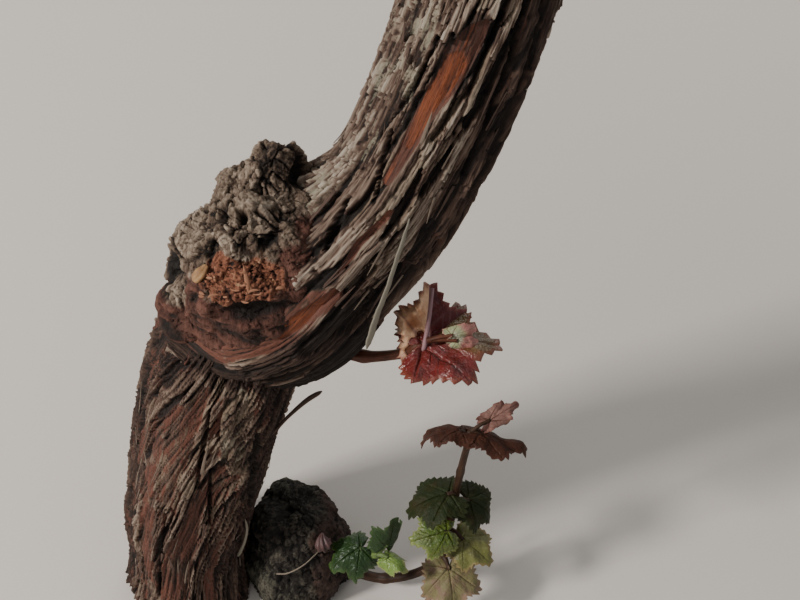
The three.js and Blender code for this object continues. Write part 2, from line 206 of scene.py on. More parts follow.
def spline(points: Sequence[Sequence[float]], share: Array) -> Array:
    """Points on the smooth curve through the given points.

    Args:
        points: the curve's stations.
        share: places along it, from 0 to 1, where each stretch takes the same share.

    Returns:
        One point for each share.
    """
    given = np.asarray(points, float)
    full = np.vstack([2 * given[0] - given[1], given, 2 * given[-1] - given[-2]])
    place = np.asarray(share) * (len(given) - 1)
    index = np.minimum(np.floor(place).astype(int), len(given) - 2)
    t = (place - index)[:, None]
    before, start, end, after = (full[index + i] for i in range(4))
    out = 0.5 * (end - before)
    into = 0.5 * (after - start)
    square = -3 * start + 3 * end - 2 * out - into
    cube = 2 * start - 2 * end + out + into
    return start + t * (out + t * (square + t * cube))


@dataclass(frozen=True)
class Station:
    """A point of a limb's middle line, and the limb's radius there."""

    at: Triple
    radius: float


@dataclass(frozen=True)
class Flute:
    """A set of even swellings round a limb."""

    count: int
    depth: float
    phase: float
    twist: float


@dataclass(frozen=True)
class Limb:
    """A tapering limb: its stations, its flutes and the way that its angle 0 faces."""

    stations: tuple[Station, ...]
    flutes: tuple[Flute, ...] = ()
    facing: Triple = (0.0, -1.0, 0.0)


class Rings:
    """A limb's rings: centre, directions, radius and run from its foot at each place."""

    BATCH = 20000  # how many points are looked up at a time

    def __init__(self, limb: Limb, count: int = 240) -> None:
        """Lays the rings.

        Args:
            limb: the limb to follow.
            count: how many stretches it is cut into.
        """
        self.limb = limb
        self.share = np.linspace(0.0, 1.0, count + 1)
        line = [station.at for station in limb.stations]
        step = 1e-3
        self.centre = spline(line, self.share)
        ahead = spline(line, np.minimum(self.share + step, 1.0))
        behind = spline(line, np.maximum(self.share - step, 0.0))
        along = ahead - behind
        self.along = along / np.linalg.norm(along, axis=1)[:, None]
        fronts = []
        front = np.array(limb.facing, float)
        for way in self.along:
            front = perpendicular(way, front)
            fronts.append(front)
        self.front = np.array(fronts)
        self.side = np.cross(self.along, self.front)
        self.radius = spline([(s.radius, 0.0, 0.0) for s in limb.stations], self.share)[:, 0]
        stretch = np.linalg.norm(np.diff(self.centre, axis=0), axis=1)
        self.run = np.concatenate([[0.0], np.cumsum(stretch)])

    def read(self, values: Array, share: Array) -> Array:
        """A ring value at any share of the limb's length."""
        if values.ndim == 1:
            return np.interp(share, self.share, values)
        columns = [np.interp(share, self.share, values[:, i]) for i in range(3)]
        return np.stack(columns, axis=-1)

    def reach(self, share: Array, angle: Array) -> Array:
        """How far the smooth surface is from the middle line, at an angle in radians."""
        factor = np.ones_like(angle)
        for flute in self.limb.flutes:
            factor += flute.depth * np.cos(flute.count * angle + flute.phase + flute.twist * share)
        return self.read(self.radius, share) * factor

    def place(self, share: Array, angle: Array, lift: Array | float) -> Array:
        """Points that stand off the smooth surface by lift."""
        out = self.outward(share, angle)
        reach = self.reach(share, angle) + lift
        return self.read(self.centre, share) + out * reach[..., None]

    def outward(self, share: Array, angle: Array) -> Array:
        """The direction out of the limb at an angle in radians."""
        side = self.read(self.side, share) * np.sin(angle)[..., None]
        front = self.read(self.front, share) * np.cos(angle)[..., None]
        return side + front

    def seek(self, points: Array) -> tuple[Array, Array, Array]:
        """Where points lie beside the limb.

        Args:
            points: places in millimetres.

        Returns:
            The share along the limb, the angle in radians and the distance outside the
            smooth surface of each point.
        """
        index = np.empty(len(points), int)
        for start in range(0, len(points), self.BATCH):
            part = points[start : start + self.BATCH]
            gap = ((part[:, None, :] - self.centre[None, :, :]) ** 2).sum(2)
            index[start : start + self.BATCH] = gap.argmin(1)
        away = points - self.centre[index]
        angle = np.arctan2((away * self.side[index]).sum(1), (away * self.front[index]).sum(1))
        share = self.share[index]
        distance = np.linalg.norm(away, axis=1) - self.reach(share, angle)
        return share, angle, distance


@dataclass(frozen=True)
class Lump:
    """A gnarled ball with uneven radii and knobs."""

    at: Triple
    radii: Triple
    turn: float = 0.0
    knobs: float = 0.07

    def swell(self, ways: Array) -> Array:
        """How much the ball swells in each direction."""
        x, y, z = ways.T
        twin = np.sin(5.3 * x + self.turn) * np.sin(4.7 * y + 2 * self.turn)
        return 1 + self.knobs * (twin + np.sin(6.1 * z + 3 * self.turn))

    def distance(self, points: Array) -> Array:
        """About how far places lie outside the lump.

        Args:
            points: places in millimetres.

        Returns:
            The distance of each, below 0 inside the lump.
        """
        away = points - np.array(self.at)
        ways = away / np.maximum(np.linalg.norm(away, axis=1), 1e-6)[:, None]
        radii = np.array(self.radii) * self.swell(ways)[:, None]
        near = np.linalg.norm(away / radii, axis=1)
        slope = np.linalg.norm(away / radii**2, axis=1)
        return near * (near - 1) / np.maximum(slope, 1e-6)


def lumps_distance(lumps: Sequence[Lump], points: Array) -> Array:
    """About how far points lie outside the nearest of several lumps."""
    return np.min([lump.distance(points) for lump in lumps], axis=0)


def fillet(distance: Array, reach: float) -> Array:
    """How far a surface rises where another stands out of it, to join it smoothly."""
    near = np.clip(1 - np.abs(distance) / reach, 0, 1)
    return reach / 4 * near**2


# The trunk's own shape, the same as the solids'
STOCK = Limb(
    stations=(
        Station((-3, 0, -20), STOCK_RADIUS * 1.22),
        Station((-1, 0, 12), STOCK_RADIUS * 1.0),
        Station((2, 0, 46), STOCK_RADIUS * 0.97),
        Station((10, 0, 84), STOCK_RADIUS * 1.03),
        Station((20, 0, 128), STOCK_RADIUS * 1.07),
        Station((32, 0, BEND_HEIGHT), STOCK_RADIUS * 1.08),
        Station((40, 0, BEND_HEIGHT + 30), STOCK_RADIUS * 0.8),
    ),
    flutes=(Flute(2, 0.035, 0.6, 0.8), Flute(5, 0.035, 1.9, 1.4)),
)
LIMB = Limb(
    stations=(
        Station((12, -1, BEND_HEIGHT + 28), LIMB_RADIUS * 0.62),
        Station((36, -2, BEND_HEIGHT + 20), LIMB_RADIUS * 1.0),
        Station((60, -2, BEND_HEIGHT + 32), LIMB_RADIUS * 1.15),
        Station((79, 0, BEND_HEIGHT + 54), LIMB_RADIUS * 1.1),
        Station((96, 4, BEND_HEIGHT + 76), LIMB_RADIUS * 1.06),
        Station((112, 10, BEND_HEIGHT + 101), LIMB_RADIUS * 0.98),
        Station((134, 25, BEND_HEIGHT + 153), LIMB_RADIUS * 1.03),
        Station((154, 38, BEND_HEIGHT + 225), LIMB_RADIUS * 0.98),
        Station((166, 44, BEND_HEIGHT + 290), LIMB_RADIUS * 1.05),
        Station((HEAD_LEAN, HEAD_BACK, HEAD_HEIGHT + 12), LIMB_RADIUS * 0.95),
    ),
    flutes=(Flute(2, 0.04, 2.2, -1.6), Flute(5, 0.03, 0.4, 2.4)),
)
OLD_HEAD_LUMPS = (
    Lump((43, -3, 221), (29, 32, 36), 0.3),
    Lump((53, -2, 242), (25, 28, 26), 1.2),
    Lump((31, -4, 223), (18, 23, 29), 2.1),
    Lump((58, 4, 261), (14, 15, 19), 0.8),
    Lump((47, -24, 229), (22, 13, 17), 1.7, 0.12),
    Lump((34, -22, 231), (11, 12, 12), 2.9, 0.12),
)
HEAD_LUMPS = (
    Lump((HEAD_LEAN, HEAD_BACK, HEAD_HEIGHT), (40, 38, 31), 0.5),
    Lump((HEAD_LEAN - 16, HEAD_BACK - 8, HEAD_HEIGHT - 16), (26, 28, 30), 2.4),
)
SHOULDER_LUMPS = (
    Lump((55, 3, 16), (25, 29, 40), 0.9, 0.05),
    Lump((62, 6, 4), (21, 26, 36), 2.2, 0.05),
)


# Meshes

def deselect_all() -> None:
    """Leaves nothing selected, so that an operator acts on its own piece only."""
    if bpy.context.object and bpy.context.object.mode != "OBJECT":
        bpy.ops.object.mode_set(mode="OBJECT")
    bpy.ops.object.select_all(action="DESELECT")


def pick(piece: Piece) -> None:
    """Selects one piece alone and makes it active."""
    deselect_all()
    piece.select_set(True)
    bpy.context.view_layer.objects.active = piece


def edit(piece: Piece, *steps: Callable[[], object]) -> None:
    """Runs operators on the whole of a piece in edit mode.

    Args:
        piece: the piece.
        steps: the operators' calls, in order.
    """
    pick(piece)
    bpy.ops.object.mode_set(mode="EDIT")
    bpy.ops.mesh.select_all(action="SELECT")
    for step in steps:
        step()
    bpy.ops.object.mode_set(mode="OBJECT")


def read_triples(source: bpy.types.bpy_prop_collection, name: str) -> Array:
    """Three values of each of a mesh's points."""
    flat = np.empty(len(source) * 3, np.float32)
    source.foreach_get(name, flat)
    return flat.reshape(-1, 3).astype(float)


def read_points(piece: Piece) -> Array:
    """A mesh's points, in millimetres."""
    return read_triples(piece.data.vertices, "co") / MM


def read_normals(piece: Piece) -> Array:
    """The outward direction at each of a mesh's points."""
    return read_triples(piece.data.vertex_normals, "vector")


def write_points(piece: Piece, points: Array) -> None:
    """Moves a mesh's points to places in millimetres."""
    piece.data.vertices.foreach_set("co", (points * MM).astype(np.float32).ravel())
    piece.data.update()


def paint(piece: Piece, *channels: Array | float) -> None:
    """Stores up to four marks at each point of a mesh, for its finish to read.

    Args:
        piece: the piece.
        channels: each mark's values, from 0 to 1.
    """
    stored = np.zeros((len(piece.data.vertices), 4), np.float32)
    for i, channel in enumerate(channels):
        stored[:, i] = np.clip(channel, 0.0, 1.0)
    attribute = piece.data.color_attributes.new(MARKS, "FLOAT_COLOR", "POINT")
    attribute.data.foreach_set("color", stored.ravel())


def write_uv(piece: Piece, u: Array, v: Array) -> None:
    """Lays a mesh's UV map.

    Args:
        piece: the piece.
        u: each point's place across the surface, in metres.
        v: its place along it.
    """
    mesh = piece.data
    corner = np.empty(len(mesh.loops), np.int32)
    mesh.loops.foreach_get("vertex_index", corner)
    layer = mesh.uv_layers.active or mesh.uv_layers.new(name="surface")
    layer.data.foreach_set("uv", np.stack([u[corner], v[corner]], 1).astype(np.float32).ravel())


def apply_modifiers(piece: Piece) -> None:
    """Makes a piece's modifiers part of its mesh."""
    pick(piece)
    for modifier in list(piece.modifiers):
        bpy.ops.object.modifier_apply(modifier=modifier.name)


def join(pieces: Sequence[Piece], name: str) -> Piece:
    """Makes one piece of several.

    Args:
        pieces: what it is made of.
        name: what it is then called.

    Returns:
        The one piece.
    """
    deselect_all()
    for piece in pieces:
        piece.select_set(True)
    bpy.context.view_layer.objects.active = pieces[0]
    if len(pieces) > 1:
        bpy.ops.object.join()
    whole = bpy.context.object
    whole.name = whole.data.name = name
    return whole


def smooth(piece: Piece) -> None:
    """Shades a piece smoothly all over."""
    piece.data.polygons.foreach_set("use_smooth", np.ones(len(piece.data.polygons), bool))
    piece.data.update()


def weld() -> None:
    """Merges the selected points that lie in one place."""
    bpy.ops.mesh.remove_doubles(threshold=WELD)


def face_outwards() -> None:
    """Turns the selected faces outwards."""
    bpy.ops.mesh.normals_make_consistent(inside=False)


def cut_at_ground() -> None:
    """Cuts what is selected off flat at the ground and closes the cut."""
    ground = {"plane_co": (0, 0, 0), "plane_no": (0, 0, 1)}
    bpy.ops.mesh.bisect(**ground, clear_inner=True, use_fill=True, threshold=1e-7)


def close_ends() -> None:
    """Fills the open ends of what is selected and turns its faces outwards."""
    bpy.ops.mesh.fill_holes(sides=0)
    face_outwards()


class Slot(Enum):
    """The record's material slots."""

    BARK = "bark"
    DARK_BARK = "dark_bark"
    FOLIAGE = "foliage"
    RED_FOLIAGE = "red_foliage"
    OLIVE_FOLIAGE = "olive_foliage"


def hand_over(piece: Piece, slot: Slot, material: bpy.types.Material, *nodes: str) -> None:
    """Dresses a finished piece and places it on the model.

    Args:
        piece: the piece, with its place in its mesh.
        slot: the record's slot for the piece; not used.
        material: its finish.
        nodes: the solids that it stands for.
    """
    piece.data.materials.clear()
    piece.data.materials.append(material)
    smooth(piece)
    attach(piece, "root")
    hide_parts(*nodes)
    log.info("%s: %d faces", piece.name, len(piece.data.polygons))


# Shader graphs

@dataclass(frozen=True)
class Wire:
    """A socket's value in a shader graph, which sums can be written on."""

    graph: Graph
    socket: bpy.types.NodeSocket

    def other(self, output: str) -> Wire:
        """Another output of the same node."""
        return Wire(self.graph, self.socket.node.outputs[output])

    def maths(self, operation: str, *values: Wire | float) -> Wire:
        """A Math node on values."""
        return self.graph.node("ShaderNodeMath", {"operation": operation}, dict(enumerate(values)))

    def __add__(self, value: Wire | float) -> Wire:
        """This plus a value."""
        return self.maths("ADD", self, value)

    def __sub__(self, value: Wire | float) -> Wire:
        """This less a value."""
        return self.maths("SUBTRACT", self, value)

    def __rsub__(self, value: Wire | float) -> Wire:
        """A value less this."""
        return self.maths("SUBTRACT", value, self)

    def __mul__(self, value: Wire | float) -> Wire:
        """This times a value."""
        return self.maths("MULTIPLY", self, value)

    __radd__ = __add__
    __rmul__ = __mul__

    def rise(self, low: float, high: float) -> Wire:
        """0 where this is under low, 1 where it is over high."""
        values = {"Value": self, "From Min": low, "From Max": high}
        return self.graph.node("ShaderNodeMapRange", {"interpolation_type": "SMOOTHSTEP"}, values)


class Graph:
    """A material's nodes."""

    def __init__(self, name: str) -> None:
        """Starts an empty material.

        Args:
            name: the material's name.
        """
        self.material = bpy.data.materials.new(name)
        self.material.use_nodes = True
        self.tree = self.material.node_tree
        self.tree.nodes.clear()

    def node(
        self,
        kind: str,
        settings: dict[str, object] | None = None,
        values: dict[str | int, object] | None = None,
        output: str | int = 0,
    ) -> Wire:
        """Adds one node.

        Args:
            kind: the node's type.
            settings: its settings, and a ramp's stops as stops, set before its sockets.
            values: what its sockets are given, as wires or constants.
            output: the output that is wanted.

        Returns:
            That output.
        """
        made = self.tree.nodes.new(kind)
        for key, value in (settings or {}).items():
            if key == "stops":
                self.set_stops(made.color_ramp.elements, value)
            else:
                setattr(made, key, value)
        for key, value in (values or {}).items():
            socket = made.inputs[key]
            if isinstance(value, Wire):
                self.tree.links.new(value.socket, socket)
            else:
                socket.default_value = value
        return Wire(self, made.outputs[output])

    @staticmethod
    def set_stops(elements: bpy.types.ColorRampElements, stops: Sequence) -> None:
        """Gives a ramp its stops.

        Args:
            elements: the ramp's own stops.
            stops: each a place from 0 to 1 and a colour.
        """
        while len(elements) < len(stops):
            elements.new(1.0)
        for element, (place, colour) in zip(elements, stops):
            element.position = place
            element.color = (*colour, 1.0)

    def marks(self) -> tuple[Wire, Wire, Wire, Wire]:
        """The four marks that a piece's points are painted with."""
        marks = self.node("ShaderNodeAttribute", {"attribute_name": MARKS}, output="Color")
        parts = self.node("ShaderNodeSeparateColor", None, {"Color": marks}, "Red")
        return parts, parts.other("Green"), parts.other("Blue"), marks.other("Alpha")

    def noise(self, vector: Wire, scale: Triple | float, detail: float = 3.0) -> Wire:
        """Noise that is finer by a scale, or by one along each axis."""
        scales = scale if isinstance(scale, tuple) else (scale, scale, scale)
        mapped = self.node("ShaderNodeMapping", None, {"Vector": vector, "Scale": scales})
        values = {"Vector": mapped, "Scale": 1.0, "Detail": detail, "Roughness": 0.6}
        return self.node("ShaderNodeTexNoise", None, values)

    def ramp(self, value: Wire, stops: Sequence[tuple[float, Colour]]) -> Wire:
        """Colours dealt out by a value."""
        return self.node("ShaderNodeValToRGB", {"stops": stops}, {"Fac": value})

    def mix(self, share: Wire, first: Wire | Colour, second: Wire | Colour) -> Wire:
        """The first colour, turning to the second as share goes from 0 to 1."""
        pair = [c if isinstance(c, Wire) else (*c, 1.0) for c in (first, second)]
        settings = {"data_type": "RGBA", "clamp_factor": True}
        return self.node("ShaderNodeMix", settings, {0: share, 6: pair[0], 7: pair[1]}, 2)

    def bump(self, height: Wire, distance: float, strength: float = 1.0) -> Wire:
        """A surface direction with relief finer than the mesh, distance in metres."""
        values = {"Height": height, "Distance": distance, "Strength": strength}
        return self.node("ShaderNodeBump", None, values, "Normal")

    def finish(
        self, colour: Wire | Colour, roughness: Wire | float, gloss: float, normal: Wire | None = None
    ) -> bpy.types.Material:
        """Ends the graph in one shader.

        Args:
            colour: the surface's colour.
            roughness: how matt it is.
            gloss: how strongly it reflects, 0.5 as a rule.
            normal: its direction, where it has fine relief.

        Returns:
            The material.
        """
        base = colour if isinstance(colour, Wire) else (*colour, 1.0)
        values = {"Base Color": base, "Roughness": roughness, "Specular IOR Level": gloss}
        if normal is not None:
            values["Normal"] = normal
        shader = self.node("ShaderNodeBsdfPrincipled", None, values)
        target = self.tree.nodes.new("ShaderNodeOutputMaterial")
        self.tree.links.new(shader.socket, target.inputs["Surface"])
        return self.material


# Finishes

MARKS = "marks"  # what each finish reads at each point


@dataclass(frozen=True)
class BarkFinish:
    """Stringy bark, with fibres along the limb, bare under-bark and pale crust."""

    name: str
    stops: tuple[tuple[float, Colour], ...]
    dull: Colour = (0.122, 0.044, 0.028)
    dull_dark: Colour = (0.042, 0.019, 0.014)
    bright: Colour = (0.190, 0.048, 0.015)
    bright_dark: Colour = (0.120, 0.029, 0.010)
    pale: Colour = (0.30, 0.275, 0.205)
    tan: Colour = (0.19, 0.14, 0.095)
    black: Colour = (0.009, 0.006, 0.005)  # painted shade at the bottom of its cracks
    fibre: tuple[float, float] = (820.0, 34.0)  # threads a metre, round the limb and along it
    relief: float = 0.0013  # its fine relief, in metres
    roughness: float = 0.86
    gloss: float = 0.3

    def make(self) -> bpy.types.Material:
        """Mixes the finish.

        Returns:
            The material.
        """
        graph = Graph(self.name)
        # The first mark, read as relief here, is each point's level, with painted shade in its cracks
        # and darker patches
        relief, tone, bareness, paleness = graph.marks()
        surface = graph.node("ShaderNodeTexCoord", output="UV")
        place = surface.other("Object")
        across, along = self.fibre
        fibre = graph.noise(surface, (across, along, 1.0))
        thread = graph.noise(surface, (across * 2.9, along * 3.0, 1.0), 2.0)
        stain = graph.noise(place, 38.0)
        blot = graph.noise(place, (150.0, 150.0, 60.0))
        grain = graph.noise(place, 620.0, 2.0)
        level = relief * 0.92 + (fibre - 0.5) * 0.75 + (thread - 0.5) * 0.4
        level = level + (tone - 0.5) * 0.42 + (stain - 0.5) * 0.3
        bark = graph.ramp(level, self.stops)
        bark = graph.mix((tone + stain).rise(1.05, 1.4) * 0.5, bark, self.tan)
        streak = (fibre * 0.8 + thread * 0.3 + tone * 0.25 + relief * 0.3).rise(0.5, 1.0)
        dull = graph.mix(streak, self.dull_dark, self.dull)
        bright = graph.mix(streak, self.bright_dark, self.bright)
        glow = bareness + (stain - 0.5) * 0.5 + (fibre - 0.5) * 0.6
        under = graph.mix(glow.rise(0.8, 1.12), dull, bright)
        ragged = (fibre - 0.5) * 0.6 + (thread - 0.5) * 0.3 + (blot - 0.5) * 0.85
        stripped = (bareness + ragged).rise(0.4, 0.6)
        colour = graph.mix(stripped, bark, under)
        speck = (grain - 0.5) * 0.55 + (blot - 0.5) * 0.7 + (stain - 0.5) * 0.7
        crust = (paleness + speck).rise(0.42, 0.75)
        colour = graph.mix(crust * 0.65, colour, self.pale)
        # Painted shade: the colour turns towards black where the level is low, down in the cracks
        shade = (relief + (fibre - 0.5) * 0.2).rise(0.04, 0.34)
        colour = graph.mix(shade * 0.92 + 0.08, self.black, colour)
        height = (fibre * 0.7 + thread * 0.4) * (1.0 - stripped * 0.55) + grain * 0.25
        roughness = (fibre - 0.5) * -0.2 + self.roughness - stripped * 0.14
        return graph.finish(colour, roughness, self.gloss, graph.bump(height, self.relief))


@dataclass(frozen=True)
class BurlFinish:
    """Crumbling bark with no fibres, reddish below and torn orange at a scar."""

    name: str
    stops: tuple[tuple[float, Colour], ...]
    torn: Colour = (0.47, 0.29, 0.17)
    torn_red: Colour = (0.23, 0.088, 0.050)
    torn_dark: Colour = (0.075, 0.026, 0.017)
    pale: Colour = (0.27, 0.23, 0.165)
    ruddy: Colour = (0.118, 0.042, 0.029)
    ruddy_dark: Colour = (0.045, 0.018, 0.013)
    black: Colour = (0.009, 0.007, 0.006)  # painted shade at the bottom of its cracks
    relief: float = 0.0015  # its fine relief, in metres
    roughness: float = 0.9
    gloss: float = 0.3

    def make(self) -> bpy.types.Material:
        """Mixes the finish.

        Returns:
            The material.
        """
        graph = Graph(self.name)
        # The first mark, read as relief here, is each point's level, with painted shade in its cracks,
        # hollows and folds
        relief, ruddiness, bareness, paleness = graph.marks()
        place = graph.node("ShaderNodeTexCoord", output="Object")
        lump = graph.noise(place, (150.0, 150.0, 110.0))
        crumb = graph.noise(place, (520.0, 520.0, 190.0))
        grain = graph.noise(place, 1400.0, 2.0)
        stain = graph.noise(place, 45.0)
        level = relief + (crumb - 0.5) * 0.8 + (lump - 0.5) * 0.4 + (grain - 0.5) * 0.45
        bark = graph.ramp(level, self.stops)
        depth = (lump * 0.5 + crumb * 0.4 + relief * 0.4).rise(0.42, 0.85)
        red = graph.mix(depth, self.ruddy_dark, self.ruddy)
        bark = graph.mix((ruddiness + (lump - 0.5) * 0.8).rise(0.3, 0.7) * 0.92, bark, red)
        # The scar darkens to torn_dark where the level is low: painted shade in its low folds
        tear = crumb * 0.6 + relief * 0.6 + grain * 0.2
        torn = graph.mix(tear.rise(0.36, 0.75), self.torn_dark, self.torn_red)
        torn = graph.mix((tear + (lump - 0.5) * 0.5).rise(0.76, 1.08), torn, self.torn)
        colour = graph.mix((bareness + (crumb - 0.5) * 0.7).rise(0.3, 0.62), bark, torn)
        crust = (paleness + (crumb - 0.5) * 0.9 + (stain - 0.5) * 0.5).rise(0.44, 0.7)
        colour = graph.mix(crust * 0.6, colour, self.pale)
        # Painted shade: the colour turns towards black where the level is low, down in the cracks
        shade = (relief + (crumb - 0.5) * 0.15).rise(0.03, 0.34)
        colour = graph.mix(shade * 0.92 + 0.08, self.black, colour)
        roughness = (crumb - 0.5) * 0.15 + self.roughness
        normal = graph.bump(lump * 0.5 + crumb * 0.7 + grain * 0.3, self.relief)
        return graph.finish(colour, roughness, self.gloss, normal)


@dataclass(frozen=True)
class PlainFinish:
    """A finish of one colour, for what is joined by the thousand."""

    name: str
    colour: Colour
    roughness: float = 0.5
    gloss: float = 0.4

    def make(self) -> bpy.types.Material:
        """The material."""
        return Graph(self.name).finish(self.colour, self.roughness, self.gloss)


@dataclass(frozen=True)
class BladeFinish:
    """A young vine leaf: veins, a darker or lighter rim and puckers between the veins."""

    name: str
    blade: Colour
    vein: Colour
    rim: Colour
    blotch: Colour
    roughness: float = 0.38
    pucker: float = 0.0008
    turned: Colour = (0.16, 0.15, 0.045)
    gloss: float = 0.5

    def make(self) -> bpy.types.Material:
        """Mixes the finish.

        Returns:
            The material.
        """
        graph = Graph(self.name)
        vein, edge, turning, _ = graph.marks()
        place = graph.node("ShaderNodeTexCoord", output="Object")
        stain = graph.noise(place, 170.0)
        fine = graph.noise(place, 900.0, 2.0)
        colour = graph.mix(stain.rise(0.42, 0.68), self.blade, self.blotch)
        colour = graph.mix((turning + (stain - 0.5) * 0.4).rise(0.3, 0.7) * 0.92, colour, self.turned)
        colour = graph.mix((edge + (stain - 0.5) * 0.6).rise(0.55, 0.95) * 0.8, colour, self.rim)
        colour = graph.mix(vein * 0.6, colour, self.vein)
        colour = graph.mix(fine.rise(0.55, 0.8) * 0.25, colour, self.rim)
        roughness = (fine - 0.5) * 0.3 + self.roughness
        normal = graph.bump(fine * 0.6 - vein * 0.4, self.pucker, 0.8)
        return graph.finish(colour, roughness, self.gloss, normal)


@dataclass(frozen=True)
class StemFinish:
    """A green or reddish young stem, or raw cut wood, streaked along its length."""

    name: str
    light: Colour
    dark: Colour
    streaks: tuple[float, float] = (900.0, 60.0)
    roughness: float = 0.5
    gloss: float = 0.5
    relief: float = 0.0004  # its fine relief, in metres

    def make(self) -> bpy.types.Material:
        """Mixes the finish.

        Returns:
            The material.
        """
        graph = Graph(self.name)
        surface = graph.node("ShaderNodeTexCoord", output="UV")
        streak = graph.noise(surface, (*self.streaks, 1.0))
        stain = graph.noise(surface.other("Object"), 210.0)
        share = (streak * 0.6 + stain * 0.5).rise(0.35, 0.75)
        colour = graph.mix(share, self.dark, self.light)
        roughness = (streak - 0.5) * 0.3 + self.roughness
        return graph.finish(colour, roughness, self.gloss, graph.bump(streak, self.relief, 0.7))


FIBROUS = BarkFinish(
    name="stringy_bark",
    stops=(
        (0.0, (0.012, 0.008, 0.006)),
        (0.22, (0.040, 0.022, 0.016)),
        (0.42, (0.095, 0.058, 0.042)),
        (0.62, (0.175, 0.125, 0.095)),
        (0.82, (0.29, 0.235, 0.185)),
        (1.0, (0.42, 0.36, 0.30)),
    ),
)
CRUMBLY = BurlFinish(
    name="crumbling_bark",
    stops=(
        (0.0, (0.015, 0.009, 0.006)),
        (0.20, (0.062, 0.038, 0.026)),
        (0.42, (0.138, 0.098, 0.071)),
        (0.68, (0.245, 0.190, 0.144)),
        (1.0, (0.42, 0.345, 0.27)),
    ),
)
# Very dark stops: partly the shoulder's own dark wood, partly painted shade from the trunk's shadow that
# it lies in
EARTHY = BurlFinish(
    name="dark_and_shaded_shoulder_bark",
    stops=(
        (0.0, (0.006, 0.005, 0.004)),
        (0.35, (0.018, 0.014, 0.011)),
        (0.62, (0.045, 0.038, 0.029)),
        (1.0, (0.115, 0.100, 0.076)),
    ),
    ruddy=(0.070, 0.040, 0.030),
    ruddy_dark=(0.022, 0.014, 0.012),
    pale=(0.105, 0.100, 0.072),
)


# The studio and the camera

@dataclass(frozen=True)
class Lamp:
    """A square soft light, in metres and watts."""

    name: str
    place: Triple
    size: float
    power: float
    colour: Colour


@dataclass
class Studio:
    """A pale floor under soft lights, and the camera where the picture was taken."""

    lens: float = 63.0
    sensor: float = 36.0
    eye: Triple = (0.1074, -0.4207, 0.6216)
    look_down: float = 45.0
    aim: Triple = (0.09, 0.0, 0.25)  # where the lamps point
    floor_radius: float = 6.0
    floor_finish: PlainFinish = PlainFinish("floor", (0.60, 0.55, 0.50), 0.9)
    sky: Colour = (0.92, 0.95, 1.0)
    sky_strength: float = 0.30
    lamps: tuple[Lamp, ...] = (
        Lamp("key", (-1.85, -0.85, 1.5), 0.4, 72.0, (1.0, 0.965, 0.91)),
        Lamp("fill", (1.9, -1.2, 0.9), 1.6, 5.0, (0.92, 0.96, 1.0)),
        Lamp("rim", (0.6, 2.0, 1.6), 1.5, 16.0, (1.0, 0.98, 0.95)),
        Lamp("top", (-0.2, -0.2, 2.6), 1.8, 30.0, (1.0, 0.98, 0.94)),
    )

    def place_camera(self) -> None:
        """Adds the camera and makes it the scene's."""
        data = bpy.data.cameras.new("camera")
        data.lens = self.lens
        data.sensor_width = self.sensor
        data.clip_start = 0.01
        camera = bpy.data.objects.new("camera", data)
        camera.location = self.eye
        camera.rotation_euler = (math.radians(90.0 - self.look_down), 0.0, 0.0)
        bpy.context.scene.collection.objects.link(camera)
        bpy.context.scene.camera = camera

    def lay_floor(self) -> None:
        """A wide plain floor that the plant's foot stands on."""
        deselect_all()
        bpy.ops.mesh.primitive_circle_add(vertices=96, radius=self.floor_radius, fill_type="NGON")
        floor = bpy.context.object
        floor.name = "floor"
        edit(floor, lambda: bpy.ops.mesh.inset(thickness=0.25 * self.floor_radius))
        floor.data.materials.append(self.floor_finish.make())

    def hang(self, lamp: Lamp) -> None:
        """Hangs one lamp, turned to the plant.

        Args:
            lamp: the lamp.
        """
        data = bpy.data.lights.new(lamp.name, "AREA")
        data.size = lamp.size
        data.energy = lamp.power
        data.color = lamp.colour
        light = bpy.data.objects.new(lamp.name, data)
        light.location = lamp.place
        way = np.array(self.aim) - np.array(lamp.place)
        azimuth = math.atan2(way[1], way[0])
        tilt = math.acos(way[2] / np.linalg.norm(way))
        light.rotation_euler = (math.pi - tilt, 0.0, azimuth - math.pi / 2)
        bpy.context.scene.collection.objects.link(light)

    def build(self) -> None:
        """Sets the camera, lays the floor, lights the sky and hangs the lamps."""
        self.place_camera()
        self.lay_floor()
        world = bpy.data.worlds.new("sky")
        world.use_nodes = True
        background = world.node_tree.nodes["Background"].inputs
        background["Color"].default_value = (*self.sky, 1.0)
        background["Strength"].default_value = self.sky_strength
        bpy.context.scene.world = world
        for lamp in self.lamps:
            self.hang(lamp)


Surface = Callable[[Array, Array], tuple[Array, list[Array]]]


def wrap(
    name: str,
    rings: Rings,
    surface: Surface,
    stretch: tuple[float, float],
    faces: tuple[int, int],
    radius: float,
    front_density: float = 0.4,
) -> Piece:
    """Wraps a grid of faces round a limb, with its seam at the back merged.

    Args:
        name: the piece's name.
        rings: the limb's rings.
        surface: gives points and marks for shares along the limb and angles round it.
        stretch: where the grid starts and ends along the limb, in millimetres.
        faces: how many faces go round the limb and along it.
        radius: the limb's usual radius, for the map of its surface.
        front_density: how much closer the faces stand at the front.

    Returns:
        The piece, open at its ends.
    """
    deselect_all()
    bpy.ops.mesh.primitive_grid_add(x_subdivisions=faces[0], y_subdivisions=faces[1], size=1.0)
    piece = bpy.context.object
    piece.name = piece.data.name = name
    grid = read_points(piece) * MM
    turn = grid[:, 0] - front_density / (2 * math.pi) * np.sin(2 * math.pi * grid[:, 0])
    run = blend(stretch[0], stretch[1], grid[:, 1] + 0.5)
    share = np.interp(run, rings.run, rings.share)
    seam = np.abs(grid[:, 0]) > 0.5 - WELD
    angle = np.where(seam, -math.pi, 2 * math.pi * turn)
    points, marks = surface(share, angle)
    write_uv(piece, 2 * math.pi * turn * radius * MM, run * MM)
    write_points(piece, points)
    paint(piece, *marks)
    edit(piece, weld)
    return piece


# The trunk's bark

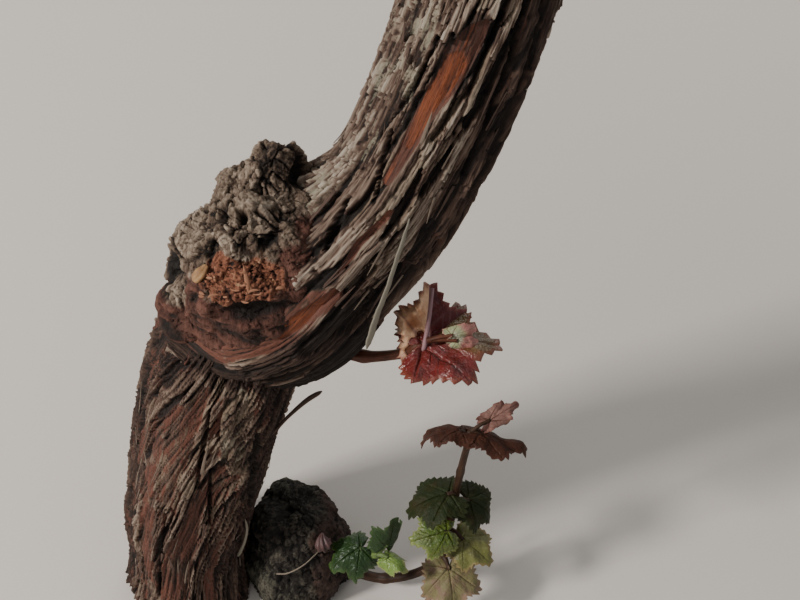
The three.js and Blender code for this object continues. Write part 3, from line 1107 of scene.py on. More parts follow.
@dataclass(frozen=True)
class Strips:
    """One layer of bark: strips along the limb, torn across into plates."""

    columns: int
    plate: float  # a plate's mean length
    lift: float  # how far the highest plates stand out
    gap: float  # how wide the gap beside a strip is, in strips
    wander: float  # how far the strips stray sideways, in strips
    seed: int
    missing: float = 0.0  # the share of plates that have fallen off
    split: float = 0.0  # the share of gaps that have opened into a fissure

    STRANDS = 6  # how many strands a plate's end frays into
    FRAY = 8.0  # how far their lengths differ
    CURL = 9.0  # how long the lifted end of a plate is
    TEAR = 0.7  # how wide the gap is where plates meet end to end

    def read(self, spots: Array, turn: Array, twist: float) -> tuple[Array, ...]:
        """The layer's relief.

        Args:
            spots: places on a straight round limb, in millimetres, with the run as their Z.
            turn: the places' turn round the limb, from 0 to 1.
            twist: how far the strips wind round the limb, in turns a metre.

        Returns:
            The height in millimetres, the plate's own tone, and how open a gap or fissure is.
        """
        # Across: which strip each place is on, and how near its side
        run = spots[:, 2]
        drift = rough_noise(spots * (1.0, 1.0, 0.3), 15.0, self.seed, 2)
        fray = smooth_noise(spots * (0.5, 0.5, 0.28), self.seed + 3)
        strip = self.columns * (turn + twist * run * MM) + self.wander * drift + 0.09 * fray
        column = np.floor(strip)
        across = strip - column
        near = np.minimum(across, 1.0 - across)
        strand = np.mod(np.floor(self.STRANDS * strip), self.STRANDS * self.columns)
        thread = scatter(strand, self.seed + 9) - 0.5
        edge = np.mod(np.round(strip), self.columns)
        column = np.mod(column, self.columns)
        # Along: which plate of the strip it is on, and the plate's own height, tone and slant
        offset = 9.0 * scatter(column, self.seed + 7)
        place = run / self.plate + offset + self.FRAY / self.plate * thread
        place += 0.3 * np.sin(2.3 * place + 11.0 * offset)
        row = np.floor(place)
        along = place - row
        rank = scatter(column, row, self.seed + 11)
        tone = scatter(column, row, self.seed + 12)
        lean = scatter(column, row, self.seed + 13) - 0.5
        sides = smooth_step(0.0, self.gap, near)
        ends = smooth_step(0.0, self.TEAR / self.plate, np.minimum(along, 1.0 - along))
        curl = 0.5 * (1.0 - smooth_step(0.0, self.CURL / self.plate, along)) * rank
        height = 0.3 + 0.6 * rank + 0.7 * lean * (2 * across - 1) + curl
        height = np.where(rank > self.missing, np.clip(height, 0.1, 1.4), 0.0)
        # Fissures: lens-shaped gaps along some of the strips' sides
        stretch = run / (0.7 * self.plate) + 9.0 * scatter(edge, self.seed + 15)
        part = np.floor(stretch)
        has = scatter(edge, part, self.seed + 16) < self.split
        width = 1e-6 + has * (0.05 + 0.24 * np.sin(math.pi * (stretch - part)) ** 1.5)
        fissure = has * (1.0 - smooth_step(0.45 * width, width, near))
        gap = np.maximum(fissure, 0.4 * (1.0 - sides * ends))
        return self.lift * height * sides * ends * (1.0 - fissure), tone, gap


@dataclass(frozen=True)
class Patch:
    """A stretch of a limb's surface, along a path of (run, angle, half width)."""

    path: tuple[Triple, ...]
    strength: float = 1.0

    def read(self, here: Array, radius: float, fray: Array) -> Array:
        """How much of the patch there is at each place, from 0 to strength.

        Args:
            here: places along the limb and round it, in millimetres.
            radius: the limb's radius.
            fray: how far each place is shifted over the patch's edge, in half widths.

        Returns:
            One value for each place.
        """
        given = np.array(self.path)
        spots = np.stack([given[:, 0], np.radians(given[:, 1]) * radius], 1)
        best = np.full(len(here), 9.0)
        for start, end, wide, narrow in zip(spots, spots[1:], given[:, 2], given[1:, 2]):
            way = end - start
            share = np.clip(((here - start) @ way) / way.dot(way), 0.0, 1.0)
            gap = np.linalg.norm(here - start - share[:, None] * way, axis=1)
            best = np.minimum(best, gap / blend(wide, narrow, share))
        return self.strength * (1.0 - smooth_step(0.8, 1.1, best + fray))


@dataclass
class BarkedLimb:
    """A limb with its bark in relief."""

    limb: Limb
    wide: Strips
    middle: Strips
    fine: Strips
    radius: float
    twist: float
    bare: tuple[Patch, ...] = ()  # where the bark is off, dull up to 0.75 and bright at 1
    crusty: tuple[Patch, ...] = ()  # where it is small rough flakes with lichen
    # sunk patches are also darkened: painted shade in their hollows
    sunk: tuple[Patch, ...] = ()
    raised: tuple[Patch, ...] = ()
    worn: tuple[Patch, ...] = ()  # where it is close and smooth
    # where the bark is darker: partly darker bark, partly painted shade on the side turned from the
    # light and under the roll
    dark: tuple[Patch, ...] = ()
    sweep: float = 0.0  # how far the strips swing round by the top, in turns
    flakes: Strips = Strips(58, 9.0, 1.7, 0.14, 1.6, 811, 0.2, 0.35)  # the crusty parts' plates
    ruddy: float = 0.2  # how much under-bark shows in its grooves
    gain: float = 1.0  # how light its plates are
    neighbours: tuple[Lump, ...] = ()
    fillet_reach: float = 12.0
    rings: Rings = field(init=False)

    SINK = 3.6  # how deep a sunk patch is
    RISE = 2.4  # how high a raised one is
    CUT = 1.7  # how deep the gaps between plates go
    SWELL = 1.5  # how far the whole bark swells
    FLOOR = 2.1  # how far inside the smooth limb the bark starts

    def __post_init__(self) -> None:
        """Lays the limb's rings."""
        self.rings = Rings(self.limb)

    def cover(self, patches: Sequence[Patch], here: Array, fray: Array) -> Array:
        """How much there is of the strongest of several patches, from 0 to 1 or so."""
        shares = [patch.read(here, self.radius, fray) for patch in patches]
        return np.max([np.zeros(len(here)), *shares], axis=0)

    def relief(self, share: Array, angle: Array) -> tuple[Array, list[Array]]:
        """The bark's height over the smooth limb, and its marks.

        Args:
            share: places along the limb, from 0 to 1.
            angle: places round it, in radians.

        Returns:
            The height in millimetres, and the values that the finish reads.
        """
        run = self.rings.read(self.rings.run, share)
        swing = self.sweep * smooth_step(0.45, 1.0, share)
        turn = angle / (2 * math.pi) + 0.5 - swing
        spots = np.stack([self.radius * np.cos(angle), self.radius * np.sin(angle), run], 1)
        here = np.stack([run, angle * self.radius], 1)
        fray = 0.42 * rough_noise(spots * (1.0, 1.0, 0.13), 4.2, 131, 2)
        bare, crusty, sunk, raised, worn, dark = (
            self.cover(patches, here, fray)
            for patches in (self.bare, self.crusty, self.sunk, self.raised, self.worn, self.dark)
        )
        # Height: three layers of plates, thinned where the bark is bare, worn or crusty
        wide, wide_tone, wide_gap = self.wide.read(spots, turn, self.twist)
        middle, middle_tone, middle_gap = self.middle.read(spots, turn, self.twist)
        fine, fine_tone, fine_gap = self.fine.read(spots, turn, self.twist)
        thick = np.clip(1.0 - 1.15 * bare - 0.9 * worn, 0.0, 1.0) * (1.0 - 0.75 * crusty)
        thin = np.clip(1.0 - 0.5 * bare - 0.45 * worn, 0.0, 1.0)
        plates = thick * (wide + 0.8 * middle) + 0.2 * middle + thin * fine
        cuts = np.maximum((0.3 + 0.7 * thick) * middle_gap, 0.6 * fine_gap)
        cuts = np.maximum(thick * wide_gap, cuts)
        flake, flake_tone, flake_gap = self.flakes.read(spots, turn, self.twist)
        swell = self.SWELL * rough_noise(spots * (1, 1, 0.25), 19.0, 71)
        height = plates + swell * (1.0 - 0.5 * bare) - self.CUT * thick * cuts**2
        height += crusty * (flake - 0.5) - self.SINK * sunk + self.RISE * raised
        height -= self.FLOOR + 0.7 * bare
        # Level: how light each place is, by its height, with painted shade in the gaps between plates,
        # in the crusty flakes' gaps and in the sunk patches, and with other rules where the bark is off
        full = self.wide.lift + self.middle.lift + self.fine.lift
        level = 0.30 + 0.62 * (wide + middle + fine) / full
        close = 0.10 + 0.50 * np.clip(fine / self.fine.lift, 0.0, 1.0)
        level = blend(level, 0.55, 0.8 * np.minimum(bare * 1.4, 1) * (1.0 - worn))
        level = blend(level, close, 0.85 * worn)
        scale = 0.38 + 0.4 * flake / self.flakes.lift + 0.3 * (flake_tone - 0.5)
        level = blend(level, scale * (1.0 - 0.8 * flake_gap), 0.85 * crusty)
        # Painted shade in the cracks between plates and in the sunk patches
        level *= (1.0 - 0.9 * np.clip(1.25 * cuts, 0, 1)) * (1.0 - 0.85 * sunk)
        # Bareness: where the red under-bark shows, also where a plate has fallen off
        lost = (wide < 0.02 * self.wide.lift) & (wide_gap < 0.2) & (middle_tone > 0.4)
        bareness = np.maximum(bare + 0.3 * bare * (middle_tone - 0.5), 0.62 * lost * (1.0 - sunk))
        bareness = np.maximum(np.maximum(bareness, 0.72 * worn), self.ruddy * (1.25 - level))
        bareness *= 1.0 - 0.8 * crusty
        # The dark patches lower the level and the tone: painted shade where they lie on the shaded side
        # and under the roll
        level *= self.gain * (1.0 - 0.5 * dark)
        tones = 0.45 * wide_tone + 0.35 * middle_tone + 0.2 * fine_tone
        tones = np.clip(0.5 + 1.5 * (tones - 0.5), 0, 1) * (1.0 - 0.5 * dark)
        paleness = crusty * (0.34 + 0.35 * flake_tone) * (1.0 - flake_gap)
        return height, [level, tones, bareness, paleness]

    def surface(self, share: Array, angle: Array) -> tuple[Array, list[Array]]:
        """The bark, with the fillets that join it to its neighbours.

        Args:
            share: places along the limb, from 0 to 1.
            angle: places round it, in radians.

        Returns:
            Points on the bark, and their marks.
        """
        height, marks = self.relief(share, angle)
        points = self.rings.place(share, angle, height)
        if self.neighbours:
            gap = lumps_distance(self.neighbours, points)
            out = self.rings.outward(share, angle)
            points = points + out * fillet(gap, self.fillet_reach)[:, None]
        return points, marks

    def build(self, name: str, stretch: tuple[float, float], faces: tuple[int, int]) -> Piece:
        """Models a stretch of the limb, open at its ends."""
        return wrap(name, self.rings, self.surface, stretch, faces, self.radius)


STOCK_BARK = BarkedLimb(
    limb=STOCK,
    wide=Strips(34, 64.0, 1.8, 0.13, 0.7, 101, 0.15, 0.62),
    middle=Strips(84, 32.0, 1.35, 0.18, 1.0, 211, 0.14, 0.5),
    fine=Strips(180, 18.0, 0.6, 0.24, 1.3, 307, 0.14, 0.3),
    radius=33.0,
    twist=-0.6,
    sweep=0.07,
    ruddy=0.5,
    gain=0.9,
    bare=(
        Patch(((200, -16, 3), (176, -20, 5), (146, -24, 6), (120, -26, 3)), 0.56),
        Patch(((160, -38, 3), (128, -42, 6), (96, -40, 7), (60, -36, 6), (34, -35, 5)), 0.56),
        Patch(((128, 2, 3), (96, 0, 6), (66, -2, 6), (38, -4, 4)), 0.58),
        Patch(((90, -12, 3), (60, -13, 5), (20, -15, 4)), 0.55),
        Patch(((86, 28, 2), (52, 26, 4), (26, 22, 3)), 0.55),
        Patch(((150, -62, 3), (90, -66, 5), (40, -60, 5)), 0.5),
        Patch(((222, -92, 10), (206, -80, 8), (192, -64, 4)), 0.42),
    ),
    crusty=(
        Patch(((200, 10, 5), (178, 18, 8), (150, 28, 6)), 0.85),
        Patch(((60, -50, 4), (20, -20, 6), (12, 10, 6)), 0.5),
    ),
    sunk=(
        Patch(((214, -47, 2.5), (206, -46, 3.5)), 1.0),
        Patch(((112, -22, 0.9), (76, -20, 1.5), (40, -24, 0.9)), 0.9),
        Patch(((176, 33, 1.5), (120, 48, 2.4), (60, 58, 2.2)), 0.8),
        Patch(((150, 6, 0.8), (128, 10, 1.2), (104, 16, 0.8)), 0.8),
        Patch(((190, -8, 0.8), (160, -4, 1.1), (132, -2, 0.7)), 0.7),
    ),
    raised=(Patch(((198, 4, 2.5), (170, 12, 3.5), (140, 22, 2.5)), 0.5),),
    # Along the right side and just under the roll these patches are painted shade; on the left side they
    # are darker bark
    dark=(
        Patch(((210, 52, 12), (120, 66, 18), (0, 62, 16)), 0.8),
        Patch(((216, -30, 7), (214, 0, 9), (212, 40, 12)), 0.9),
        Patch(((230, -92, 13), (204, -76, 11), (196, -50, 6)), 0.8),
        Patch(((190, -84, 9), (110, -86, 15), (0, -84, 16)), 0.6),
    ),
)
LIMB_BARK = BarkedLimb(
    limb=LIMB,
    wide=Strips(17, 92.0, 2.5, 0.09, 0.5, 401, 0.06, 0.5),
    middle=Strips(46, 50.0, 1.4, 0.11, 0.7, 503, 0.08, 0.35),
    fine=Strips(120, 30.0, 0.6, 0.2, 1.1, 601, 0.08, 0.3),
    radius=29.5,
    twist=-0.4,
    gain=1.26,
    bare=(
        Patch(((192, -19, 4.4), (182, -21, 4.2), (169, -24, 3.0), (154, -25, 1.6)), 1.25),
        Patch(((210, -8, 3), (203, -13, 6), (194, -18, 7), (184, -20, 5), (138, -28, 2)), 0.8),
        Patch(((90, -9, 2), (76, -13, 3), (60, -18, 2.6)), 1.0),
        Patch(((300, 20, 3), (340, 26, 6), (370, 22, 3)), 0.9),
        Patch(((128, -14, 1.2), (112, -18, 2.0), (96, -16, 1.4)), 0.75),
    ),
    crusty=(
        Patch(((96, -78, 10), (140, -72, 15), (190, -62, 15), (240, -50, 15)), 0.95),
        Patch(((214, -42, 8), (250, -30, 12)), 0.7),
    ),
    sunk=(
        Patch(((100, -34, 1.0), (108, -39, 2.0), (122, -46, 1.2)), 1.0),
        Patch(((118, -7, 0.9), (128, -7, 1.7), (147, -8, 1.0)), 1.0),
        Patch(((138, 1, 0.9), (150, 4, 1.6), (166, 9, 0.9)), 1.0),
        Patch(((64, 8, 6), (84, 16, 9), (104, 28, 8)), 0.55),
        Patch(((92, -2, 3), (104, 2, 2.4)), 0.9),
        Patch(((150, 30, 1.2), (200, 22, 1.8), (240, 10, 1.0)), 0.9),
        Patch(((200, -36, 0.9), (176, -39, 1.5), (150, -50, 0.9)), 0.9),
        Patch(((216, 2, 0.9), (190, 0, 1.4), (160, -12, 0.9)), 0.8),
        Patch(((128, -28, 0.8), (140, -36, 1.2), (156, -42, 0.8)), 0.8),
        Patch(((120, 46, 1.6), (170, 40, 2.2), (230, 34, 1.6)), 0.8),
    ),
    raised=(
        Patch(((84, -14, 4), (104, -16, 6), (130, -20, 5)), 0.45),
        Patch(((128, 40, 3), (172, 44, 5), (214, 30, 4)), 0.6),
    ),
    worn=(
        Patch(((4, -14, 7), (34, -26, 9), (62, -22, 8), (88, -10, 5)), 0.9),
        Patch(((120, 36, 8), (180, 40, 12), (240, 40, 12)), 0.45),
    ),
    # The first three patches, along the right side and under the roll, are painted shade; the last
    # darkens the dull bare strip
    dark=(
        Patch(((60, 26, 12), (110, 46, 17), (180, 50, 22), (260, 52, 24)), 0.9),
        Patch(((2, 6, 9), (40, 10, 13), (84, 26, 13)), 1.1),
        Patch(((16, 44, 12), (44, 50, 13), (70, 50, 11)), 1.6),
        Patch(((210, -10, 6), (200, -15, 9), (188, -18, 8)), 1.0),
    ),
    neighbours=(*OLD_HEAD_LUMPS, *HEAD_LUMPS),
    fillet_reach=14.0,
)


@dataclass
class Trunk:
    """The stock, and the limb that rolls over it and leans away."""

    stock: BarkedLimb
    limb: BarkedLimb
    stock_start: float = 9.0  # where its bark starts, under the ground
    stock_faces: tuple[int, int] = (270, 360)  # round it and along it
    split: float = 232.0  # where the limb's two pieces meet, along it
    lower_faces: tuple[int, int] = (264, 370)
    upper_faces: tuple[int, int] = (264, 190)
    inset: float = 0.5  # how far inside the limb's ends its bark stops

    def build(self) -> None:
        """Models the stock and the limb, and dresses them."""
        bark = FIBROUS.make()
        stock_end = self.stock.rings.run[-1] - self.inset
        stock = self.stock.build("stock", (self.stock_start, stock_end), self.stock_faces)
        edit(stock, cut_at_ground)
        limb_end = self.limb.rings.run[-1] - self.inset
        lower = self.limb.build("limb_lower", (self.inset, self.split), self.lower_faces)
        upper = self.limb.build("limb_upper", (self.split, limb_end), self.upper_faces)
        for piece in (stock, lower, upper):
            edit(piece, close_ends)
            hand_over(piece, Slot.BARK, bark, "trunk")


# Gnarled heads

@dataclass(frozen=True)
class Spot:
    """A place on a skin that stands out or is sunk, and is lighter or darker."""

    at: Triple
    radii: Triple
    rise: float = 0.0
    shade: float = 0.0  # the share of its light that it loses

    def read(self, points: Array, waver: Array) -> Array:
        """How much of the spot there is at each point, from 0 to 1."""
        near = np.linalg.norm((points - np.array(self.at)) / np.array(self.radii), axis=1)
        return 1.0 - smooth_step(0.4, 1.0, near + 0.14 * waver)


@dataclass
class GnarledHead:
    """Lumps grown into one, with crumbling bark."""

    name: str
    lumps: tuple[Lump, ...]
    voxel: float  # how close its points lie
    roughness: float
    limbs: tuple[Limb, ...]  # what it stands on
    chunk: float = 5.6  # how wide its chunks of bark are
    stretch: Triple = (1.0, 1.0, 0.5)  # below 1 where the chunks are longer
    hollows: tuple[Spot, ...] = ()
    fillet_reach: float = 14.0

    def cast(self) -> Piece:
        """Models the lumps as one skin.

        Returns:
            The closed skin, with no relief yet.
        """
        balls = []
        for lump in self.lumps:
            deselect_all()
            bpy.ops.mesh.primitive_ico_sphere_add(subdivisions=5, radius=1.0)
            ball = bpy.context.object
            ways = read_points(ball) * MM
            ways /= np.linalg.norm(ways, axis=1)[:, None]
            radii = np.array(lump.radii) * lump.swell(ways)[:, None]
            write_points(ball, np.array(lump.at) + ways * radii)
            balls.append(ball)
        whole = join(balls, self.name)
        remesh = whole.modifiers.new("skin", "REMESH")
        remesh.mode = "VOXEL"
        remesh.voxel_size = self.voxel * MM
        soften = whole.modifiers.new("soften", "SMOOTH")
        soften.iterations = 8
        apply_modifiers(whole)
        return whole

    def crumble(self, points: Array) -> tuple[Array, Array]:
        """Crumbling bark's relief.

        Args:
            points: places on the skin.

        Returns:
            The height in millimetres, and a level from 0, black, to 1, light.
        """
        # Chunks of bark with open cracks between them, and smaller flakes on the chunks
        lumps = rough_noise(points * (1, 1, 0.6), 13.0, 31, 2)
        crumbs = rough_noise(points, 1.7, 37, 2)
        threads = rough_noise(points * (1.0, 1.0, 0.2), 1.2, 35, 2)
        stray = np.stack([rough_noise(points, 4.0, 39 + 5 * i, 2) for i in range(3)], 1)
        warped = (points + 0.9 * stray) * self.stretch
        crack, own, slant = cell_noise(warped, self.chunk, 43)
        gape = smooth_step(-0.7, 0.2, rough_noise(points, 8.0, 61, 2))
        split = (0.2 + 0.8 * gape) * (1.0 - smooth_step(0.01, 0.05 + 0.09 * gape, crack))
        flakes, flake, lean = cell_noise(warped, 0.45 * self.chunk, 47)
        seam = 1.0 - smooth_step(0.03, 0.10, flakes)
        gone = smooth_step(0.62, 0.66, own) * gape
        # Weights in millimetres, and then weights of light: lighter on the raised chunks and flakes,
        # with painted shade in the cracks, the seams and where chunks have gone
        height = lumps + 0.3 * crumbs + 1.5 * own + 0.35 * threads
        height += self.chunk * (0.75 * slant + 0.34 * lean)
        height += 0.7 * flake - 2.2 * split - 0.4 * seam - 1.6 * gone
        level = 0.38 + 0.12 * lumps + 0.22 * own + 0.22 * flake + 0.08 * crumbs + 0.12 * threads
        level = (level + 0.25 * slant) * (1.0 - 0.96 * split) * (1.0 - 0.55 * seam) * (1.0 - 0.55 * gone)
        return self.roughness * (height - 1.2), level

    def raise_skin(self, skin: Piece, height: Array) -> None:
        """Gives a skin its relief, and fillets where it meets the limbs that it stands on.

        Args:
            skin: the smooth skin.
            height: how far each of its points moves outwards.
        """
        points = read_points(skin)
        gaps = [Rings(limb).seek(points)[2] for limb in self.limbs]
        meet = np.max([fillet(gap, self.fillet_reach) for gap in gaps], axis=0)
        write_points(skin, points + read_normals(skin) * (height + meet)[:, None])

    def dent(self, points: Array, waver: Array, height: Array, level: Array) -> tuple[Array, Array]:
        """Adds the hollows and swellings to a skin's relief, and darkens each spot by its shade: painted
        shade where the spot is sunk.

        Args:
            points: places on the skin.
            waver: noise that makes the spots' edges uneven.
            height: the height so far.
            level: the level so far.

        Returns:
            The new height and level.
        """
        for spot in self.hollows:
            share = spot.read(points, waver)
            height = height + spot.rise * share
            level = level * (1.0 - spot.shade * share)
        return height, level


@dataclass
class OldHead(GnarledHead):
    """The old head on the bend, pruned back long ago, with its torn scar."""

    scar: Spot = Spot((46.0, -32.0, 243.0), (21.0, 16.0, 14.0))
    knob: Spot = Spot((49.0, -13.0, 266.0), (8.5, 9.0, 8.5))
    hole: Spot = Spot((46.5, -18.5, 264.5), (3.0, 4.5, 3.0))
    moss: Spot = Spot((46.0, -27.0, 255.0), (9.0, 9.0, 8.0))
    fan: Triple = (50.0, -16.0, 266.0)  # the middle of the grooves round the knob
    fan_rise: float = 12.0  # how far above it they meet
    fan_reach: float = 16.0  # how far from it they end
    fan_top: float = 264.0  # the height that they stay under
    ruddy_below: float = 235.0  # the height under which its bark is ruddy
    ruddy_right: tuple[float, float] = (52.0, 64.0)  # where its right side turns ruddy, in X
    ruddy_top: tuple[float, float] = (246.0, 262.0)  # and where that ends, in Z
    grey_left: tuple[float, float] = (17.0, 25.0)  # where its left foot is grey again, in X
    grey_foot: tuple[float, float] = (211.0, 219.0)  # and in Z
    spokes: float = 26.0  # how many grooves would go right round the knob

    def zones(self, points: Array, waver: Array, shiver: Array) -> tuple[Array, Array]:
        """The skin's ruddy part and its scar.

        Args:
            points: places on the skin.
            waver: coarse noise that makes edges uneven.
            shiver: finer noise.

        Returns:
            How far each place is ruddy, and how far it is torn, from 0 to 1.
        """
        x, y, z = points.T
        scar = np.clip(1.25 * self.scar.read(points, waver + shiver), 0, 1)
        line = z + 6.0 * waver + 2.0 * shiver
        low = 1.0 - smooth_step(self.ruddy_below - 5, self.ruddy_below + 6, line)
        right = smooth_step(*self.ruddy_right, x + 6.0 * waver)
        right *= 1 - smooth_step(*self.ruddy_top, z + 8 * waver)
        ruddy = np.maximum(low, right) * (y < 4)
        left = 1.0 - smooth_step(*self.grey_left, x + 4 * shiver)
        ruddy *= 1.0 - smooth_step(*self.grey_foot, z + 4 * waver) * left
        return ruddy, scar

    def build(self) -> None:
        """Models the old head, and dresses it."""
        skin = self.cast()
        points = read_points(skin)
        height, level = self.crumble(points)
        waver = rough_noise(points, 14.0, 53, 2)
        shiver = rough_noise(points, 5.0, 57, 2)
        ruddy, scar = self.zones(points, waver, shiver)
        # Torn shreds on the scar, and seams that run across the ruddy bark; painted shade makes the
        # scar's low folds near black and the seams darker
        twirl = points + 5.0 * np.stack([waver, shiver, np.roll(shiver, 3)], 1)
        folds = 1.0 - np.abs(rough_noise(twirl * (1.0, 1.0, 1.5), 3.2, 59, 3))
        shreds, shred, tilt = cell_noise(twirl * (1.0, 1.0, 0.6), 2.3, 63)
        folds = 0.5 * smooth_step(0.35, 1.0, folds)
        folds += (0.15 + 0.6 * shred) * smooth_step(0.02, 0.16, shreds)
        lines = rough_noise(points * (0.35, 1.0, 1.6) + 2.5 * waver[:, None], 3.4, 73, 2)
        seams = 1.0 - smooth_step(0.0, 0.10, np.abs(lines + 0.1 * shiver))
        calm = np.maximum(ruddy, scar)
        height = height * (1.0 - 0.86 * calm) + scar * (2.4 * folds + 1.6 * tilt - 0.6)
        height += ruddy * (0.7 * lines + 0.5 * shiver - 1.1 * seams)
        level = blend(level * (1.0 + 0.24 * waver), 0.02 + 0.72 * folds + 0.16 * shiver, scar)
        level = blend(level, 0.44 + 0.3 * lines + 0.24 * shiver, 0.9 * ruddy * (1 - scar))
        level *= 1.0 - 0.75 * seams * ruddy * (1 - scar)
        # The knob on top, with its hole and the grooves that fan out from it; painted shade makes the
        # hole near black and the knob darker between its raised spokes
        knob = self.knob.read(points, 0.4 * waver)
        hole = self.hole.read(points, 0.3 * waver)
        away = points - np.array(self.fan)
        spokes = np.cos(self.spokes * np.arctan2(away[:, 0], away[:, 2] - self.fan_rise))
        near = (np.linalg.norm(away, axis=1) < self.fan_reach) & (points[:, 2] < self.fan_top)
        grooves = smooth_step(-0.2, 0.5, spokes) * near * (1 - scar)
        height += 2.4 * knob * (1 - hole) - 5.5 * hole + 0.7 * grooves
        level = blend(level, 0.46 + 0.16 * spokes, 0.55 * knob)
        level *= 1.0 - 0.95 * hole
        height, level = self.dent(points, waver, height, level)
        mossy = self.moss.read(points, waver)
        pale = 0.42 * (1 - calm) * smooth_step(-0.6, 0.7, waver + 0.4 * shiver) + 0.1 * mossy
        self.raise_skin(skin, height)
        paint(skin, level, 0.9 * ruddy * (1 - mossy), scar * (1 - 0.8 * mossy), pale)
        hand_over(skin, Slot.BARK, CRUMBLY.make(), "trunk")


# Each sunk spot's shade is painted shade in its hollow; the flat spots are simply darker
OLD_HEAD_HOLLOWS = (
    Spot((14.0, -17.0, 235.0), (6.5, 16.0, 15.0), -6.0, 0.97),
    Spot((10.0, -8.0, 226.0), (9.0, 12.0, 14.0), -3.0, 0.9),
    Spot((14.0, -12.0, 204.0), (11.0, 14.0, 9.0), 0.0, 0.55),
    Spot((52.0, -36.0, 231.0), (15.0, 12.0, 7.5), -3.5, 0.95),
    Spot((42.0, -34.0, 219.0), (17.0, 12.0, 6.0), 0.0, 0.6),
    Spot((36.0, -38.0, 233.0), (4.0, 6.0, 3.0), -2.5, 0.9),
    Spot((69.0, 1.0, 270.0), (8.0, 8.0, 6.0), -5.0, 0.95),
    Spot((38.0, -14.0, 262.0), (3.5, 8.0, 9.0), -4.0, 0.9),
    Spot((57.0, -24.0, 257.0), (5.0, 5.0, 2.6), -2.5, 0.85),
    Spot((33.0, -22.0, 251.0), (2.6, 7.0, 7.0), -3.0, 0.9),
    Spot((24.0, -12.0, 256.0), (3.0, 8.0, 10.0), -3.5, 0.85),
    Spot((27.0, -20.0, 262.0), (11.0, 11.0, 8.0), -5.0, 0.0),
    Spot((56.0, 2.0, 281.0), (12.0, 12.0, 13.0), -1.0, 0.5),
)
# Each sunk spot's shade is painted shade in its hollow
SHOULDER_HOLLOWS = (
    Spot((50.0, -22.0, 26.0), (6.0, 8.0, 10.0), -2.5, 0.5),
    Spot((66.0, -16.0, 34.0), (5.0, 8.0, 4.0), -2.0, 0.7),
    Spot((78.0, -8.0, 22.0), (6.0, 8.0, 12.0), -2.0, 0.4),
    Spot((38.0, -4.0, 48.0), (14.0, 16.0, 11.0), 8.0, 0.0),
    Spot((56.0, 4.0, 57.0), (15.0, 14.0, 8.0), -6.0, 0.0),
    Spot((75.0, 2.0, 44.0), (11.0, 14.0, 10.0), 6.0, 0.0),
)


@dataclass
class Knuckle(GnarledHead):
    """The head that the arms grow out of."""

    def build(self) -> None:
        """Models the knuckle, and dresses it."""
        skin = self.cast()
        points = read_points(skin)
        height, level = self.crumble(points)
        waver = rough_noise(points, 14.0, 61, 2)
        self.raise_skin(skin, height)
        paint(skin, level, smooth_step(0.2, 0.9, waver) * 0.7, 0.0, 0.25 + 0.2 * waver)
        hand_over(skin, Slot.BARK, CRUMBLY.make(), "trunk")


@dataclass
class Shoulder(GnarledHead):
    """The dark woody shoulder beside the foot, darkened further by painted shade."""

    red_side: tuple[float, float] = (60.0, 70.0)  # where its right side turns redder, in X

    def build(self) -> None:
        """Models the shoulder, and dresses it."""
        skin = self.cast()
        points = read_points(skin)
        height, level = self.crumble(points)
        waver = rough_noise(points, 16.0, 67, 2)
        height, level = self.dent(points, waver, height, level)
        red = smooth_step(*self.red_side, points[:, 0] + 7.0 * waver) * 0.9
        self.raise_skin(skin, 0.55 * height + 2.0 * waver)
        paint(skin, level, red, 0.0, 0.36 + 0.3 * waver - 0.4 * red)
        edit(skin, cut_at_ground)
        edit(skin, close_ends)
        hand_over(skin, Slot.DARK_BARK, EARTHY.make(), "foot_shoulder")


OLD_HEAD = OldHead(
    name="old_head",
    lumps=(*OLD_HEAD_LUMPS, Lump((20.0, -9.0, 207.0), (11.0, 12.0, 18.0), 0.7, 0.1)),
    voxel=0.6,
    roughness=1.0,
    limbs=(LIMB, STOCK),
    hollows=OLD_HEAD_HOLLOWS,
)
KNUCKLE = Knuckle(name="knuckle", lumps=HEAD_LUMPS, voxel=1.1, roughness=1.0, limbs=(LIMB,))
SHOULDER = Shoulder(
    name="shoulder",
    lumps=SHOULDER_LUMPS,
    voxel=0.8,
    roughness=0.9,
    limbs=(STOCK,),
    chunk=4.2,
    hollows=SHOULDER_HOLLOWS,
)


# Joined small things

def bands(rings: int, sides: int) -> list[Array]:
    """The triangles between rings of corners.

    Args:
        rings: how many rings there are.
        sides: how many corners each has.

    Returns:
        Sets of triangles, counted from the first ring's first corner.
    """
    here = np.arange(sides)
    after = (here + 1) % sides
    faces = []
    for low in range(0, sides * (rings - 1), sides):
        high = low + sides
        faces.append(np.stack([low + here, low + after, high + after], 1))
        faces.append(np.stack([low + here, high + after, high + here], 1))
    return faces


